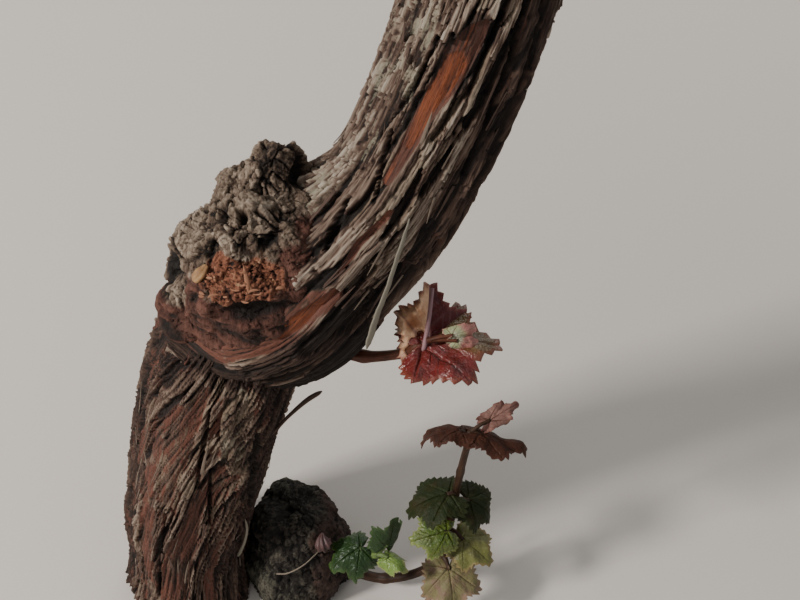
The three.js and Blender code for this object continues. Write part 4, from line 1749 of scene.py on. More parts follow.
class Heap:
    """Triangles of many small things, gathered for one piece."""

    # A ribbon's cross-section, in halves of its width and thickness
    LENS = ((1, 0), (0.55, 1), (-0.55, 1), (-1, 0), (-0.55, -1), (0.55, -1))

    def __init__(self) -> None:
        """Starts empty."""
        self.points: list[Array] = []
        self.faces: list[Array] = []
        self.count = 0

    def add(self, points: Array, faces: Array) -> None:
        """Adds one thing.

        Args:
            points: its corners, in millimetres.
            faces: its triangles, counted from its own first corner.
        """
        self.points.append(points)
        self.faces.append(faces + self.count)
        self.count += len(points)

    def add_tube(self, line: Array, radii: Array, sides: int) -> None:
        """Adds a closed tube along a line.

        Args:
            line: its middle line's points.
            radii: its radius at each point.
            sides: how many sides it has.
        """
        along = np.gradient(line, axis=0)
        along /= np.linalg.norm(along, axis=1)[:, None]
        start = UP if abs(along[0][2]) < 0.9 else FRONT
        front = perpendicular(along[0], start)
        turn = 2 * math.pi * np.arange(sides) / sides
        rings = []
        for way, centre, radius in zip(along, line, radii):
            front = perpendicular(way, front)
            side = np.cross(way, front)
            ring = side * np.sin(turn)[:, None] + front * np.cos(turn)[:, None]
            rings.append(centre + radius * ring)
        points = np.vstack([*rings, line[:1], line[-1:]])
        here = np.arange(sides)
        after = (here + 1) % sides
        last = (len(line) - 1) * sides
        foot = np.full(sides, len(points) - 2)
        faces = bands(len(line), sides)
        faces.append(np.stack([foot, after, here], 1))
        faces.append(np.stack([foot + 1, last + here, last + after], 1))
        self.add(points, np.vstack(faces))

    def add_ribbon(
        self, line: Array, ways: Array | Triple, widths: Array, thickness: float
    ) -> None:
        """Adds a thin closed strip along a line.

        Args:
            line: its middle line's points.
            ways: the way that its face looks at each point, or one for all.
            widths: its width at each point.
            thickness: how thick its middle is.
        """
        along = np.gradient(line, axis=0)
        side = np.cross(along, ways)
        side /= np.linalg.norm(side, axis=1)[:, None]
        out = np.cross(side, along)
        out /= np.linalg.norm(out, axis=1)[:, None]
        half = 0.5 * widths[:, None]
        wall = 0.5 * thickness
        sides = len(self.LENS)
        rings = np.stack([line + side * half * a + out * wall * b for a, b in self.LENS], 1)
        last = sides * (len(line) - 1)
        fan = np.array([(0, i + 1, i) for i in range(1, sides - 1)])
        faces = [*bands(len(line), sides), fan, last + fan[:, ::-1]]
        self.add(rings.reshape(-1, 3), np.vstack(faces))

    def piece(self, name: str) -> Piece:
        """Makes a mesh of all that it holds.

        Args:
            name: the piece's name.

        Returns:
            The piece.
        """
        points, faces = np.vstack(self.points), np.vstack(self.faces)
        mesh = bpy.data.meshes.new(name)
        mesh.vertices.add(len(points))
        mesh.vertices.foreach_set("co", (points * MM).astype(np.float32).ravel())
        mesh.loops.add(faces.size)
        mesh.loops.foreach_set("vertex_index", faces.astype(np.int32).ravel())
        mesh.polygons.add(len(faces))
        mesh.polygons.foreach_set("loop_start", np.arange(0, faces.size, 3, dtype=np.int32))
        mesh.update(calc_edges=True)
        piece = bpy.data.objects.new(name, mesh)
        bpy.context.scene.collection.objects.link(piece)
        return piece


# Leaves of the crown

@dataclass(frozen=True)
class LeafShape:
    """A vine leaf's outline: five toothed lobes round a blade that sags to its rim."""

    lobes: tuple[tuple[float, float], ...] = (
        (0.0, 0.62),
        (31.0, 0.45),
        (62.0, 0.56),
        (96.0, 0.43),
        (128.0, 0.48),
        (160.0, 0.38),
        (180.0, 0.10),
    )  # angles from the midrib, in degrees, and how far the blade reaches there
    sag: float = 0.12
    thickness: float = 0.012
    tooth: float = 0.04  # how far its teeth stand out and in, as a share of its reach
    quilt: float = 0.09  # how far it rises between its veins
    rim_points: int = 45
    rim_end: float = 172.0  # the angle where its rim ends, beside the stalk
    ring: tuple[float, ...] = (0, 15, 31, 46, 62, 78, 95, 112, 128, 144, 160)
    ring_reach: float = 0.56  # where its inner ring of corners lies, as a share of its reach
    veins: tuple[float, ...] = (0.0, 62.0, 128.0)

    def reach(self, angle: Array) -> Array:
        """How far the blade reaches.

        Args:
            angle: angles from its midrib, in degrees.

        Returns:
            Its reach at each, as a share of its length.
        """
        given = np.array(self.lobes)
        share = np.abs(angle)
        index = np.clip(np.searchsorted(given[:, 0], share, side="right") - 1, 0, len(given) - 2)
        low, high = given[index], given[index + 1]
        part = (share - low[:, 0]) / (high[:, 0] - low[:, 0])
        part = 0.5 * part + 0.5 * part * part * (3 - 2 * part)
        return blend(low[:, 1], high[:, 1], part)

    def coarse(self) -> tuple[Array, Array, Array]:
        """A leaf of a few dozen faces.

        Returns:
            Its corners in shares of its length, along the midrib, sideways and out of its
            upper face, and its upper and lower triangles.
        """
        # Corners: the rim's, toothed, then the inner ring's and the middle
        half = np.array(self.ring, float)
        ring_angles = np.concatenate([-half[:0:-1], half])
        outer, inner = self.rim_points, len(ring_angles)
        rim_angles = np.linspace(-self.rim_end, self.rim_end, outer)
        reach = self.reach(rim_angles) * (1.0 - self.tooth)
        reach[1:-1:2] += 2.0 * self.tooth * reach[1:-1:2]
        degrees = np.concatenate([rim_angles, ring_angles, [0.0]])
        reaches = np.concatenate([reach, self.ring_reach * self.reach(ring_angles), [0.0]])
        turns = np.radians(degrees)
        drop = -self.sag * (reaches / 0.6) ** 2
        near = np.abs(np.abs(degrees)[:, None] - self.veins).min(1)
        crease = self.quilt * (smooth_step(0.0, 24.0, near) - 0.5) * np.sin(math.pi * reaches / 0.62)
        lift = drop + crease + 0.02 * np.cos(5.8 * turns) * reaches / 0.5
        points = np.stack([reaches * np.cos(turns), reaches * np.sin(turns), lift], 1)
        # Faces: the upper side by way of the ring, the lower straight from a second middle
        middle, below = outer + inner, outer + inner + 1
        rim, ring = np.arange(outer), np.arange(outer, middle)
        steps = np.abs(rim_angles[:, None] - ring_angles).argmin(1)
        above = [(middle, ring[i], ring[i + 1]) for i in range(inner - 1)]
        above += [(middle, ring[-1], rim[-1]), (middle, rim[-1], rim[0]), (middle, rim[0], ring[0])]
        for i in range(outer - 1):
            here, after = ring[steps[i]], ring[steps[i + 1]]
            above.append((here, rim[i], rim[i + 1]))
            if after != here:
                above.append((here, rim[i + 1], after))
        under = [(below, rim[i + 1], rim[i]) for i in range(outer - 1)] + [(below, rim[0], rim[-1])]
        points = np.vstack([points, points[middle] - (0, 0, self.thickness)])
        return points, np.array(above), np.array(under)


class Age(Enum):
    """How old a crown leaf is, which sets its colour."""

    MATURE = "mature"
    GROWN = "grown"
    FRESH = "fresh"
    TIP = "tip"


@dataclass(frozen=True)
class Leaf:
    """A leaf's place: where its stalk leaves the twig, its middle and its directions."""

    root: Array
    middle: Array
    tip: Array
    face: Array
    length: float
    age: Age = Age.MATURE
    curl: float = 1.0


def leaf_of(root: Array, base: Array, tip_way: Array, face_way: Array, length: float) -> Leaf:
    """A leaf from where its stalk leaves the twig and where it meets the blade."""
    tip = unit(tip_way)
    return Leaf(root, base + length * 0.1 * tip, tip, perpendicular(tip, face_way), length)


LOBE_POINTS = ((0, 0.62, 1.0), (31, 0.4, 0.3), (62, 0.56, 0.8), (128, 0.47, 0.7))
NOTCH_POINT = (180, 0.1, 0.0)
BLADE_SAG = 0.12


def rim_table() -> Array:
    """The solids' leaf rim, along the midrib, sideways and out of the face."""
    given = [(-a, r, s) for a, r, s in LOBE_POINTS[::-1]] + list(LOBE_POINTS[1:]) + [NOTCH_POINT]
    angle, reach, sag = np.array(given, float).T
    turn = np.radians(angle)
    return np.stack([reach * np.cos(turn), reach * np.sin(turn), -BLADE_SAG * sag], 1)


RIM = rim_table()


# The crown

ARM_COUNT = 5
FIRST_ARM = math.radians(-158.0)
ARM_TIP_RADIUS = 128.0
ARM_TIP_HEIGHT = HEAD_HEIGHT + 62.0
SECTOR_HALF = math.radians(180.0 / ARM_COUNT - 1.5)
COLUMN_RADIUS = 84.0
SECTOR_START = 90.0
SPUR_LENGTH = 34.0
CROWN_FOOT = HEAD_HEIGHT + 28.0
AXIS = np.array([HEAD_LEAN, HEAD_BACK, 0.0])
JOINT_GAP = 0.3

SHOOT_RISE = 0.2
SHOOT_ARCH = 0.045
SHOOT_THICK = 4.2
SHOOT_THIN = 1.7
LEAF_LENGTHS = (70, 86, 100, 104, 100, 90, 76, 60, 44)
LEAF_AGES = (Age.MATURE,) * 4 + (Age.GROWN,) * 3 + (Age.FRESH,) * 2
LATERAL_LENGTHS = (46, 40, 33, 25, 17)
TIP_LENGTHS = (24, 19, 15, 11)
LEAF_SHARES = (1.0, 0.82, 0.66)
LEAF_SPACING = 0.37
LEAF_MARGIN = 1.5
STALK_LENGTH = 0.62
OUTER_SHOOTS = (
    (-0.62, 0.62, 330),
    (0.62, 0.62, 330),
    (-0.3, 0.1, 400),
    (0.32, 0.3, 390),
    (0.02, 1.05, 300),
)
CENTRE_SHOOTS = ((-0.2, 0.2, 350), (0.25, -0.15, 330))


def level_across(way: Array) -> Array:
    """The level direction across a way."""
    return unit(np.cross(way, UP) + 1e-3)


def crown_radius(height: float) -> float:
    """How wide the crown is at a height."""
    middle = HEAD_HEIGHT + 210
    half = CROWN_TOP + 30 - middle if height > middle else middle - CROWN_FOOT + 75
    share = (height - middle) / half
    return CROWN_RADIUS * math.sqrt(max(0.0, 1 - share * share))


@dataclass
class Arm:
    """One arm of the head, and the mass of shoots and leaves that it carries."""

    name: str
    index: int
    is_centre: bool = False
    leaves: list[Leaf] = field(default_factory=list)
    shoots: list[Array] = field(default_factory=list)
    laterals: list[Array] = field(default_factory=list)
    tendrils: list[Array] = field(default_factory=list)
    start: Array = field(init=False)  # where its spur starts
    spur_end: Array = field(init=False)
    tip_radius: float = field(init=False)

    @property
    def azimuth(self) -> float:
        """The direction that the arm leaves the head in."""
        return 0.0 if self.is_centre else FIRST_ARM + self.index * 2 * math.pi / ARM_COUNT

    @property
    def out(self) -> Array:
        """The level direction away from the crown's axis."""
        return np.array([math.cos(self.azimuth), math.sin(self.azimuth), 0.0])

    @property
    def limb(self) -> Limb:
        """The arm's own limb.

        Returns:
            A limb from inside the knuckle to the arm's tip.
        """
        if self.is_centre:
            stations = (
                Station((HEAD_LEAN - 4, HEAD_BACK, HEAD_HEIGHT + 6), 18),
                Station((HEAD_LEAN + 4, HEAD_BACK + 3, HEAD_HEIGHT + 52), 14),
                Station((HEAD_LEAN - 3, HEAD_BACK - 2, HEAD_HEIGHT + 96), 10),
            )
            return Limb(stations, (Flute(3, 0.06, 1, 2),))
        lift = (self.index % 2) * 16

        def at(radius: float, height: float) -> Triple:
            """A point on the arm's upright plane."""
            x, y, _ = AXIS + self.out * radius
            return (x, y, height)

        stations = (
            Station(at(12, HEAD_HEIGHT - 4), 17),
            Station(at(58, HEAD_HEIGHT + 12 + lift * 0.4), 14.5),
            Station(at(98, HEAD_HEIGHT + 30 + lift * 0.8), 12),
            Station(at(ARM_TIP_RADIUS, ARM_TIP_HEIGHT + lift), 9.5),
        )
        return Limb(stations, (Flute(3, 0.06, self.index, 2),), (0.0, 0.0, 1.0))

    def holds(self, centre: Array, radius: float) -> bool:
        """Whether a ball stays inside the arm's space.

        Args:
            centre: its centre.
            radius: its radius.

        Returns:
            True where all of it does.
        """
        away = math.hypot(centre[0] - AXIS[0], centre[1] - AXIS[1])
        if centre[2] - radius < CROWN_FOOT or centre[2] + radius > CROWN_TOP:
            return False
        if self.is_centre:
            return away + radius < COLUMN_RADIUS
        if away + radius > crown_radius(centre[2]) or away - radius < SECTOR_START:
            return False
        turn = math.atan2(centre[1] - AXIS[1], centre[0] - AXIS[0]) - self.azimuth
        off = abs(math.atan2(math.sin(turn), math.cos(turn)))
        return off < SECTOR_HALF and away * math.sin(SECTOR_HALF - off) > radius

    def has_room(self, leaf: Leaf, spacing: float) -> bool:
        """Whether a leaf is clear of the others and inside the arm's space.

        Args:
            leaf: the leaf.
            spacing: how close it may stand to another, as a share of their lengths.

        Returns:
            True where it is.
        """
        for other in self.leaves:
            gap = np.linalg.norm(other.middle - leaf.middle)
            if gap <= spacing * (other.length + leaf.length):
                return False
        basis = np.stack([leaf.tip, np.cross(leaf.face, leaf.tip), leaf.face])
        corners = leaf.middle + leaf.length * RIM @ basis
        return all(self.holds(corner, LEAF_MARGIN) for corner in corners)

    def grow_shoot(self, start: Array, heading: Array, reach: float, draws: Stream) -> None:
        """Grows one shoot with a leaf at each joint, by the solids' rule.

        Args:
            start: where it leaves the spur.
            heading: the way that it sets out.
            reach: its full length.
            draws: the numbers that it draws from.
        """
        joints = len(LEAF_LENGTHS)
        across = np.array([-self.out[1], self.out[0], 0.0])
        points = [start]
        direction = heading
        turn_side = 1 if draws.draw() < 0.5 else -1
        for joint, full in enumerate(LEAF_LENGTHS):
            sway = draws.sway()
            outwards = 0.0 if self.is_centre else 0.5 * SHOOT_ARCH * joint
            rise = SHOOT_RISE - SHOOT_ARCH * joint
            direction = unit(direction + UP * rise + self.out * outwards + 0.3 * sway)
            point = points[-1] + direction * reach / joints
            if not self.holds(point, 6):
                break
            points.append(point)
            turn_side = -turn_side
            sideways, lift, size, droop, turn = (draws.draw() for _ in range(5))
            away = sideways - 0.5 if self.is_centre else 0.3 + 0.7 * sideways
            spread = perpendicular(direction, across) * turn_side + self.out * away
            spread = unit(spread + UP * (0.2 + 0.4 * lift))
            tip = unit(spread - UP * (0.5 + 0.5 * droop))
            light = UP + self.out * 0.9 * turn + sway * 0.8
            length = full * (0.88 + 0.24 * size)
            for share in LEAF_SHARES:
                base = point + spread * length * share * STALK_LENGTH
                leaf = leaf_of(point, base, tip, light, length * share)
                if self.has_room(leaf, LEAF_SPACING):
                    leaf = replace(leaf, age=LEAF_AGES[joint], curl=0.7 + 0.9 * droop)
                    self.leaves.append(leaf)
                    break
        if len(points) > 1:
            self.shoots.append(np.array(points))

    def grow_lateral(self, start: Array, heading: Array, age: Age, draws: Stream) -> None:
        """Grows a short side shoot with a few small leaves.

        Args:
            start: the joint that it leaves.
            heading: the way that it sets out.
            age: its leaves' age.
            draws: the numbers that it draws from.
        """
        points = [start]
        direction = heading
        turn_side = 1
        for full in LATERAL_LENGTHS:
            sway = draws.sway()
            direction = unit(direction + UP * 0.12 + 0.5 * sway)
            point = points[-1] + direction * draws.between(14, 24)
            if not self.holds(point, 3):
                break
            points.append(point)
            turn_side = -turn_side
            spread = level_across(direction) * turn_side + UP * draws.between(0.1, 0.6)
            spread = unit(spread + 0.4 * direction)
            tip = unit(spread - UP * draws.between(0.2, 0.8))
            length = full * draws.between(0.8, 1.25)
            leaf = leaf_of(point, point + spread * length * 0.55, tip, UP + sway, length)
            if self.has_room(leaf, 0.27):
                newest = Age.TIP if full < 30 and age is not Age.MATURE else age
                self.leaves.append(replace(leaf, age=newest, curl=draws.between(0.6, 1.8)))
        if len(points) > 1:
            self.laterals.append(np.array(points))

    def curl_tendril(self, start: Array, heading: Array, draws: Stream) -> None:
        """Adds a tendril that ends in a coil, where there is room for it.

        Args:
            start: the joint that it leaves.
            heading: the way that it sets out.
            draws: the numbers that it draws from.
        """
        level = level_across(heading)
        rise = np.cross(level, heading)
        length = draws.between(34, 62)
        turns = draws.between(1.2, 2.4)
        share = np.linspace(0.0, 1.0, 15)
        coil = np.maximum(share - 0.5, 0.0) * 2
        radius = 5.5 * coil * (1.15 - coil)
        line = start + heading * (share * length * (1 - 0.35 * coil))[:, None]
        line += rise * (5.0 * share**2 + radius * np.sin(2 * math.pi * turns * coil))[:, None]
        line += level * (radius * np.cos(2 * math.pi * turns * coil) - radius)[:, None]
        if all(self.holds(point, 2.0) for point in line):
            self.tendrils.append(line)

    def grow(self) -> None:
        """Grows the arm's mass: its shoots by the solids' rule, and then what they carry."""
        draws = Stream(41 + 17 * self.index)  # the solids' own numbers
        stations = self.limb.stations
        tip = np.array(stations[-1].at)
        along = unit(tip - np.array(stations[-2].at))
        self.start = tip + along * JOINT_GAP
        self.spur_end = self.start + along * SPUR_LENGTH
        self.tip_radius = stations[-1].radius
        across = np.array([-self.out[1], self.out[0], 0.0])
        for i, (side, out, reach) in enumerate(CENTRE_SHOOTS if self.is_centre else OUTER_SHOOTS):
            root = blend(self.start, self.spur_end, 0.45 + 0.12 * i)
            heading = unit(UP + self.out * out + across * side)
            self.grow_shoot(root, heading, reach, draws)
        extra = Stream(1009 + 31 * self.index)  # for all that the solids don't have
        for line in list(self.shoots):
            for joint in range(1, len(line)):
                way = unit(line[joint] - line[joint - 1])
                level = level_across(way)
                side = 1 if joint % 2 else -1
                heading = unit(level * side * extra.between(0.5, 1.1) + way * 0.6 + UP * 0.2)
                if extra.draw() < 0.85:
                    age = Age.GROWN if joint < 6 else Age.FRESH
                    self.grow_lateral(line[joint], heading, age, extra)
                if joint > 1 and extra.draw() < 0.5:
                    self.curl_tendril(line[joint], unit(way * 0.7 - level * side), extra)
            self.grow_tip(line, extra)

    def grow_tip(self, line: Array, draws: Stream) -> None:
        """Adds the small bronze leaves that unfold at a shoot's end.

        Args:
            line: the shoot's joints.
            draws: the numbers that they draw from.
        """
        way = unit(line[-1] - line[-2])
        level = level_across(way)
        for i, length in enumerate(TIP_LENGTHS):
            side = 1 if i % 2 else -1
            spread = unit(level * side * 0.8 + way * 0.8)
            root = line[-1] + way * 3.0 * i
            tip = unit(spread + UP * draws.between(-0.3, 0.5))
            leaf = leaf_of(root, root + spread * length * 0.4, tip, UP + level * 0.6, length)
            if self.has_room(leaf, 0.12):
                self.leaves.append(replace(leaf, age=Age.TIP, curl=draws.between(-1.5, 1.0)))


@dataclass
class Crown:
    """The arms and all that grows on them."""

    names: tuple[str, ...] = ("left", "front", "right", "back_right", "back_left", "centre")
    blades: tuple[tuple[Age, PlainFinish], ...] = (
        (Age.MATURE, PlainFinish("mature_blade", (0.066, 0.145, 0.030), 0.5)),
        (Age.GROWN, PlainFinish("grown_blade", (0.110, 0.205, 0.040), 0.5)),
        (Age.FRESH, PlainFinish("fresh_blade", (0.20, 0.29, 0.055), 0.48)),
        (Age.TIP, PlainFinish("tip_blade", (0.27, 0.19, 0.065), 0.48)),
    )
    spur: PlainFinish = PlainFinish("spur_bark", (0.13, 0.075, 0.045), 0.85)
    shoot: PlainFinish = PlainFinish("green_shoot", (0.16, 0.21, 0.06), 0.45)
    stalk: PlainFinish = PlainFinish("leaf_stalk", (0.24, 0.16, 0.07), 0.45)
    tendril: PlainFinish = PlainFinish("tendril", (0.27, 0.25, 0.08), 0.5)
    arm_faces: tuple[int, int] = (84, 130)  # round an arm and along it

    def arm_bark(self, arm: Arm) -> BarkedLimb:
        """An arm's bark, with a pattern of its own.

        Args:
            arm: the arm.

        Returns:
            Its limb, with bark.
        """
        shift = 37 * arm.index
        return BarkedLimb(
            limb=arm.limb,
            wide=Strips(9, 42.0, 1.3, 0.16, 0.7, 701 + shift, 0.2),
            middle=Strips(23, 26.0, 0.9, 0.2, 1.0, 801 + shift, 0.15),
            fine=Strips(52, 14.0, 0.4, 0.3, 1.5, 901 + shift),
            radius=13.0,
            twist=0.4,
            neighbours=HEAD_LUMPS,
        )

    def build(self) -> None:
        """Grows the masses and models the arms, shoots, stalks, tendrils and leaves."""
        arms = [Arm(name, i, i == ARM_COUNT) for i, name in enumerate(self.names)]
        bark = FIBROUS.make()
        for arm in arms:
            dressed = self.arm_bark(arm)
            stretch = (0.5, dressed.rings.run[-1] - 0.2)
            piece = dressed.build(f"{arm.name}_arm", stretch, self.arm_faces)
            edit(piece, close_ends)
            hand_over(piece, Slot.BARK, bark, f"arm_{arm.name}")
            arm.grow()
        masses = [f"leaves_{arm.name}" for arm in arms]
        self.build_wood(arms, masses)
        self.build_blades(arms, masses)

    def build_wood(self, arms: Sequence[Arm], masses: Sequence[str]) -> None:
        """Models the spurs, shoots, stalks and tendrils.

        Args:
            arms: the grown arms.
            masses: the solids that they stand for.
        """
        spurs, shoots, stalks, tendrils = Heap(), Heap(), Heap(), Heap()
        for arm in arms:
            # A spur tapers and is knotted, and a shoot swells at each of its joints
            share = np.linspace(0.0, 1.0, 9)
            line = blend(arm.start, arm.spur_end, share[:, None])
            knots = 1.0 + 0.12 * np.sin(share * 15.0 + arm.index)
            spurs.add_tube(line, arm.tip_radius * (0.98 - 0.36 * share) * knots, 14)
            for line in arm.shoots:
                joints = np.arange(len(line))
                share = np.linspace(0.0, 1.0, 8 * (len(line) - 1) + 1)
                place = share * (len(line) - 1)
                thick = SHOOT_THICK + (SHOOT_THIN - SHOOT_THICK) * place / len(LEAF_LENGTHS)
                near = np.abs(place[:, None] - joints).min(1)
                swell = 1.0 + 0.28 * np.exp(-((near / 0.07) ** 2))
                shoots.add_tube(spline(line, share), 0.8 * thick * swell, 9)
            for line in arm.laterals:
                share = np.linspace(0.0, 1.0, 3 * (len(line) - 1) + 1)
                shoots.add_tube(spline(line, share), 1.3 - 0.7 * share, 6)
            # A stalk is thicker for a longer leaf, and bows up between the twig and the blade
            for leaf in arm.leaves:
                base = leaf.middle - 0.1 * leaf.length * leaf.tip
                knee = 0.5 * (leaf.root + base) + 0.07 * leaf.length * UP
                line = spline([leaf.root, knee, base], np.linspace(0, 1, 5))
                thick = 0.45 + leaf.length * 0.009
                stalks.add_tube(line, thick * np.array([1.25, 0.95, 0.85, 0.85, 0.7]), 5)
            for line in arm.tendrils:
                tendrils.add_tube(line, np.linspace(0.75, 0.3, len(line)), 5)
        hand_over(spurs.piece("spurs"), Slot.BARK, self.spur.make(), *masses)
        hand_over(shoots.piece("shoots"), Slot.FOLIAGE, self.shoot.make(), *masses)
        hand_over(stalks.piece("stalks"), Slot.FOLIAGE, self.stalk.make(), *masses)
        hand_over(tendrils.piece("tendrils"), Slot.FOLIAGE, self.tendril.make(), *masses)

    def build_blades(self, arms: Sequence[Arm], masses: Sequence[str]) -> None:
        """Models the leaves, one piece for each age.

        Args:
            arms: the grown arms.
            masses: the solids that they stand for.
        """
        shape, above, under = LeafShape().coarse()
        faces = np.vstack([above, under])
        is_above = np.arange(len(faces)) < len(above)
        for age, finish in self.blades:
            leaves = [leaf for arm in arms for leaf in arm.leaves if leaf.age is age]
            heap = Heap()
            for leaf in leaves:
                basis = np.stack([leaf.tip, np.cross(leaf.face, leaf.tip), leaf.face])
                bent = shape * (1.0, 1.0, leaf.curl)
                heap.add(leaf.middle + leaf.length * bent @ basis, faces)
            log.info("%s leaves: %d", age.value, len(leaves))
            piece = heap.piece(f"{age.value}_leaves")
            hand_over(piece, Slot.FOLIAGE, finish.make(), *masses)
            piece.data.polygons.foreach_set("use_smooth", np.tile(is_above, len(leaves)))


# The suckers

@dataclass(frozen=True)
class YoungLeaf:
    """A sucker's leaf, and how its blade is bent. Lengths but the first are its shares."""

    finish: BladeFinish
    root: Triple
    base: Triple
    tip: Triple
    face: Triple
    length: float
    cup: float = 0.10  # how far the rim sinks
    fold: float = 0.0  # how steeply the halves rise beside the midrib
    roll: float = 0.0  # how far the halves curl down, in radians
    droop: float = 0.0  # how far the tip bends down, in radians
    wave: float = 0.03
    narrow: float = 1.0
    pucker: float = 0.014
    seed: int = 1
    around: int = 176
    outwards: int = 24
    teeth: int = 16  # on each side
    tooth: float = 0.15  # how long they are
    petiole: float = 1.0  # how thick its stalk is
    left: float = 1.0  # how wide its left half is
    right: float = 1.0
    crumple: float = 0.0  # how far its left half has dried and crumpled
    turning: tuple[float, float, float, float] = (0.0, 0.0, 1.0, 2.0)  # where it has turned
    rib: float = 0.016  # how thick its main veins are
    branching: float = 0.105  # how far apart its small veins are
    wall: float = 0.014  # how thick its blade is

    VEINS = (0.0, 58.0, -58.0, 118.0, -118.0)
    SHEATH = -0.1  # where the stalk meets the blade, along the midrib
    SHAPE = LeafShape(
        (
            (0.0, 0.64),
            (31.0, 0.445),
            (58.0, 0.57),
            (92.0, 0.42),
            (122.0, 0.48),
            (156.0, 0.36),
            (180.0, 0.1),
        )
    )

    def outline(self, angle: Array, share: Array) -> Array:
        """The blade's reach at angles in degrees, toothed towards its rim."""
        place = np.abs(angle) * self.teeth / 180.0 + 0.25
        saw = np.mod(place, 1.0) - 0.55
        size = 0.75 + 0.5 * scatter(np.floor(place), self.seed)
        return self.SHAPE.reach(angle) * (1.0 + self.tooth * size * saw * share**5)

    def veins(self, x: Array, y: Array) -> Array:
        """How near places on the flat blade are to a vein.

        Args:
            x: how far each lies along the midrib.
            y: how far it lies beside it.

        Returns:
            1 on a main vein, less on a small one and 0 between them.
        """
        main = np.zeros(len(x))
        small = np.zeros(len(x))
        best = np.full(len(x), 9.0)
        for turn in self.VEINS:
            reach = self.SHAPE.reach(np.array([turn]))[0]
            angle = math.radians(turn)
            way = reach * np.array([math.cos(angle), math.sin(angle)]) - (self.SHEATH, 0.0)
            length = np.linalg.norm(way)
            way /= length
            along = (x - self.SHEATH) * way[0] + y * way[1]
            across = np.abs(-(x - self.SHEATH) * way[1] + y * way[0])
            thick = self.rib * (1.1 - np.clip(along / length, 0, 1))
            # The vein itself, thinner towards its end, and the small ones that leave it slantwise
            inside = (along > 0) & (along < length)
            main = np.maximum(main, inside * (1 - smooth_step(thick * 0.5, thick * 1.7, across)))
            step = (along - across * 0.95) / self.branching
            near = np.abs(step - np.round(step)) * self.branching * 0.7
            branch = inside * (1.0 - smooth_step(0.002, 0.009, near)) * (across < 0.26)
            remote = across / (0.15 + np.clip(along, 0, 1))
            closer = (remote < best) & inside
            small = np.where(closer, branch, small)
            best = np.where(closer, remote, best)
        return np.maximum(main, 0.34 * small)

    def bend(self, flat: Array) -> Array:
        """Curls the blade, in shares of its length.

        Args:
            flat: places along the midrib, sideways and out of the face.

        Returns:
            The places on the bent blade.
        """
        x, y, z = flat.T
        if self.roll:
            turn = self.roll * np.abs(y) / 0.5
            y = np.sign(y) * (0.5 / self.roll) * np.sin(turn)
            z = z * np.cos(turn) - (0.5 / self.roll) * (1 - np.cos(turn))
        if self.droop:
            rate = self.droop / 0.72
            turn = rate * np.maximum(x - self.SHEATH, 0)
            bent_x = self.SHEATH + np.sin(turn) / rate + z * np.sin(turn)
            bent_z = z * np.cos(turn) - (1 - np.cos(turn)) / rate
            behind = x < self.SHEATH
            x, z = np.where(behind, x, bent_x), np.where(behind, z, bent_z)
        return np.stack([x, y, z], 1)

    def form(self, grid: Array) -> tuple[Array, tuple[Array, ...]]:
        """The blade's form before it is curled, in shares of its length.

        Args:
            grid: places round the blade and out from its stalk, from -0.5 to 0.5.

        Returns:
            The places on the blade, and their marks.
        """
        angle = 358.0 * grid[:, 0]
        share = grid[:, 1] + 0.5
        reach = self.outline(angle, share) * share
        turn = np.radians(angle)
        x, y = reach * np.cos(turn), reach * np.sin(turn)
        vein = self.veins(x, y)
        ahead, aside, start, end = self.turning
        turning = smooth_step(start, end, ahead * x + aside * y)
        y = y * self.narrow * np.where(y > 0, self.left, self.right)
        # Waves towards the rim, crumpling where it has dried and puckers between the veins
        spot = np.stack([x, y, np.zeros(len(x))], 1) + self.seed
        ripple = self.wave * rough_noise(spot, 0.26, self.seed, 2) * share
        ripple += self.wave * 0.8 * np.sin(6.5 * turn + self.seed) * share**2
        crumpled = smooth_step(0.0, 0.08, y) * rough_noise(spot, 0.12, self.seed + 9, 2)
        ripple += self.crumple * crumpled
        quilt = self.pucker * (1.0 - 1.1 * vein + 0.9 * smooth_noise(spot / 0.08, self.seed + 5))
        z = -self.cup * (reach / 0.6) ** 2 + self.fold * np.abs(y) + ripple + quilt * (1 - share**6)
        return np.stack([x, y, z], 1), (vein, share**3, turning)

    def blade(self, name: str) -> Piece:
        """Models the blade as a thin closed sheet.

        Args:
            name: the piece's name.

        Returns:
            The piece, with its marks.
        """
        deselect_all()
        faces = {"x_subdivisions": self.around, "y_subdivisions": self.outwards}
        bpy.ops.mesh.primitive_grid_add(**faces, size=1.0)
        piece = bpy.context.object
        flat, marks = self.form(read_points(piece) * MM)
        tip = unit(self.tip)
        face = perpendicular(tip, self.face)
        middle = np.array(self.base) + 0.1 * self.length * tip
        basis = np.stack([tip, np.cross(face, tip), face])
        write_uv(piece, flat[:, 0] * self.length * MM, flat[:, 1] * self.length * MM)
        write_points(piece, middle + self.length * self.bend(flat) @ basis)
        paint(piece, *marks)
        edit(piece, weld, face_outwards)
        wall = piece.modifiers.new("wall", "SOLIDIFY")
        wall.thickness = self.wall * self.length * MM
        wall.offset = 0.0
        apply_modifiers(piece)
        piece.name = piece.data.name = name
        return piece

    def stalk(self) -> Limb:
        """The leaf's stalk.

        Returns:
            A limb that is sunk into the stem and the blade.
        """
        root, base = np.array(self.root), np.array(self.base)
        thick = self.petiole * (0.75 + 0.012 * self.length)
        middle = 0.5 * (root + base) + 0.08 * self.length * UP * 0.5
        end = base + 0.03 * self.length * unit(self.tip)
        line = ((root, 1.3), (middle, 1.0), (end, 0.75))
        return Limb(tuple(Station(tuple(at), thick * share) for at, share in line))


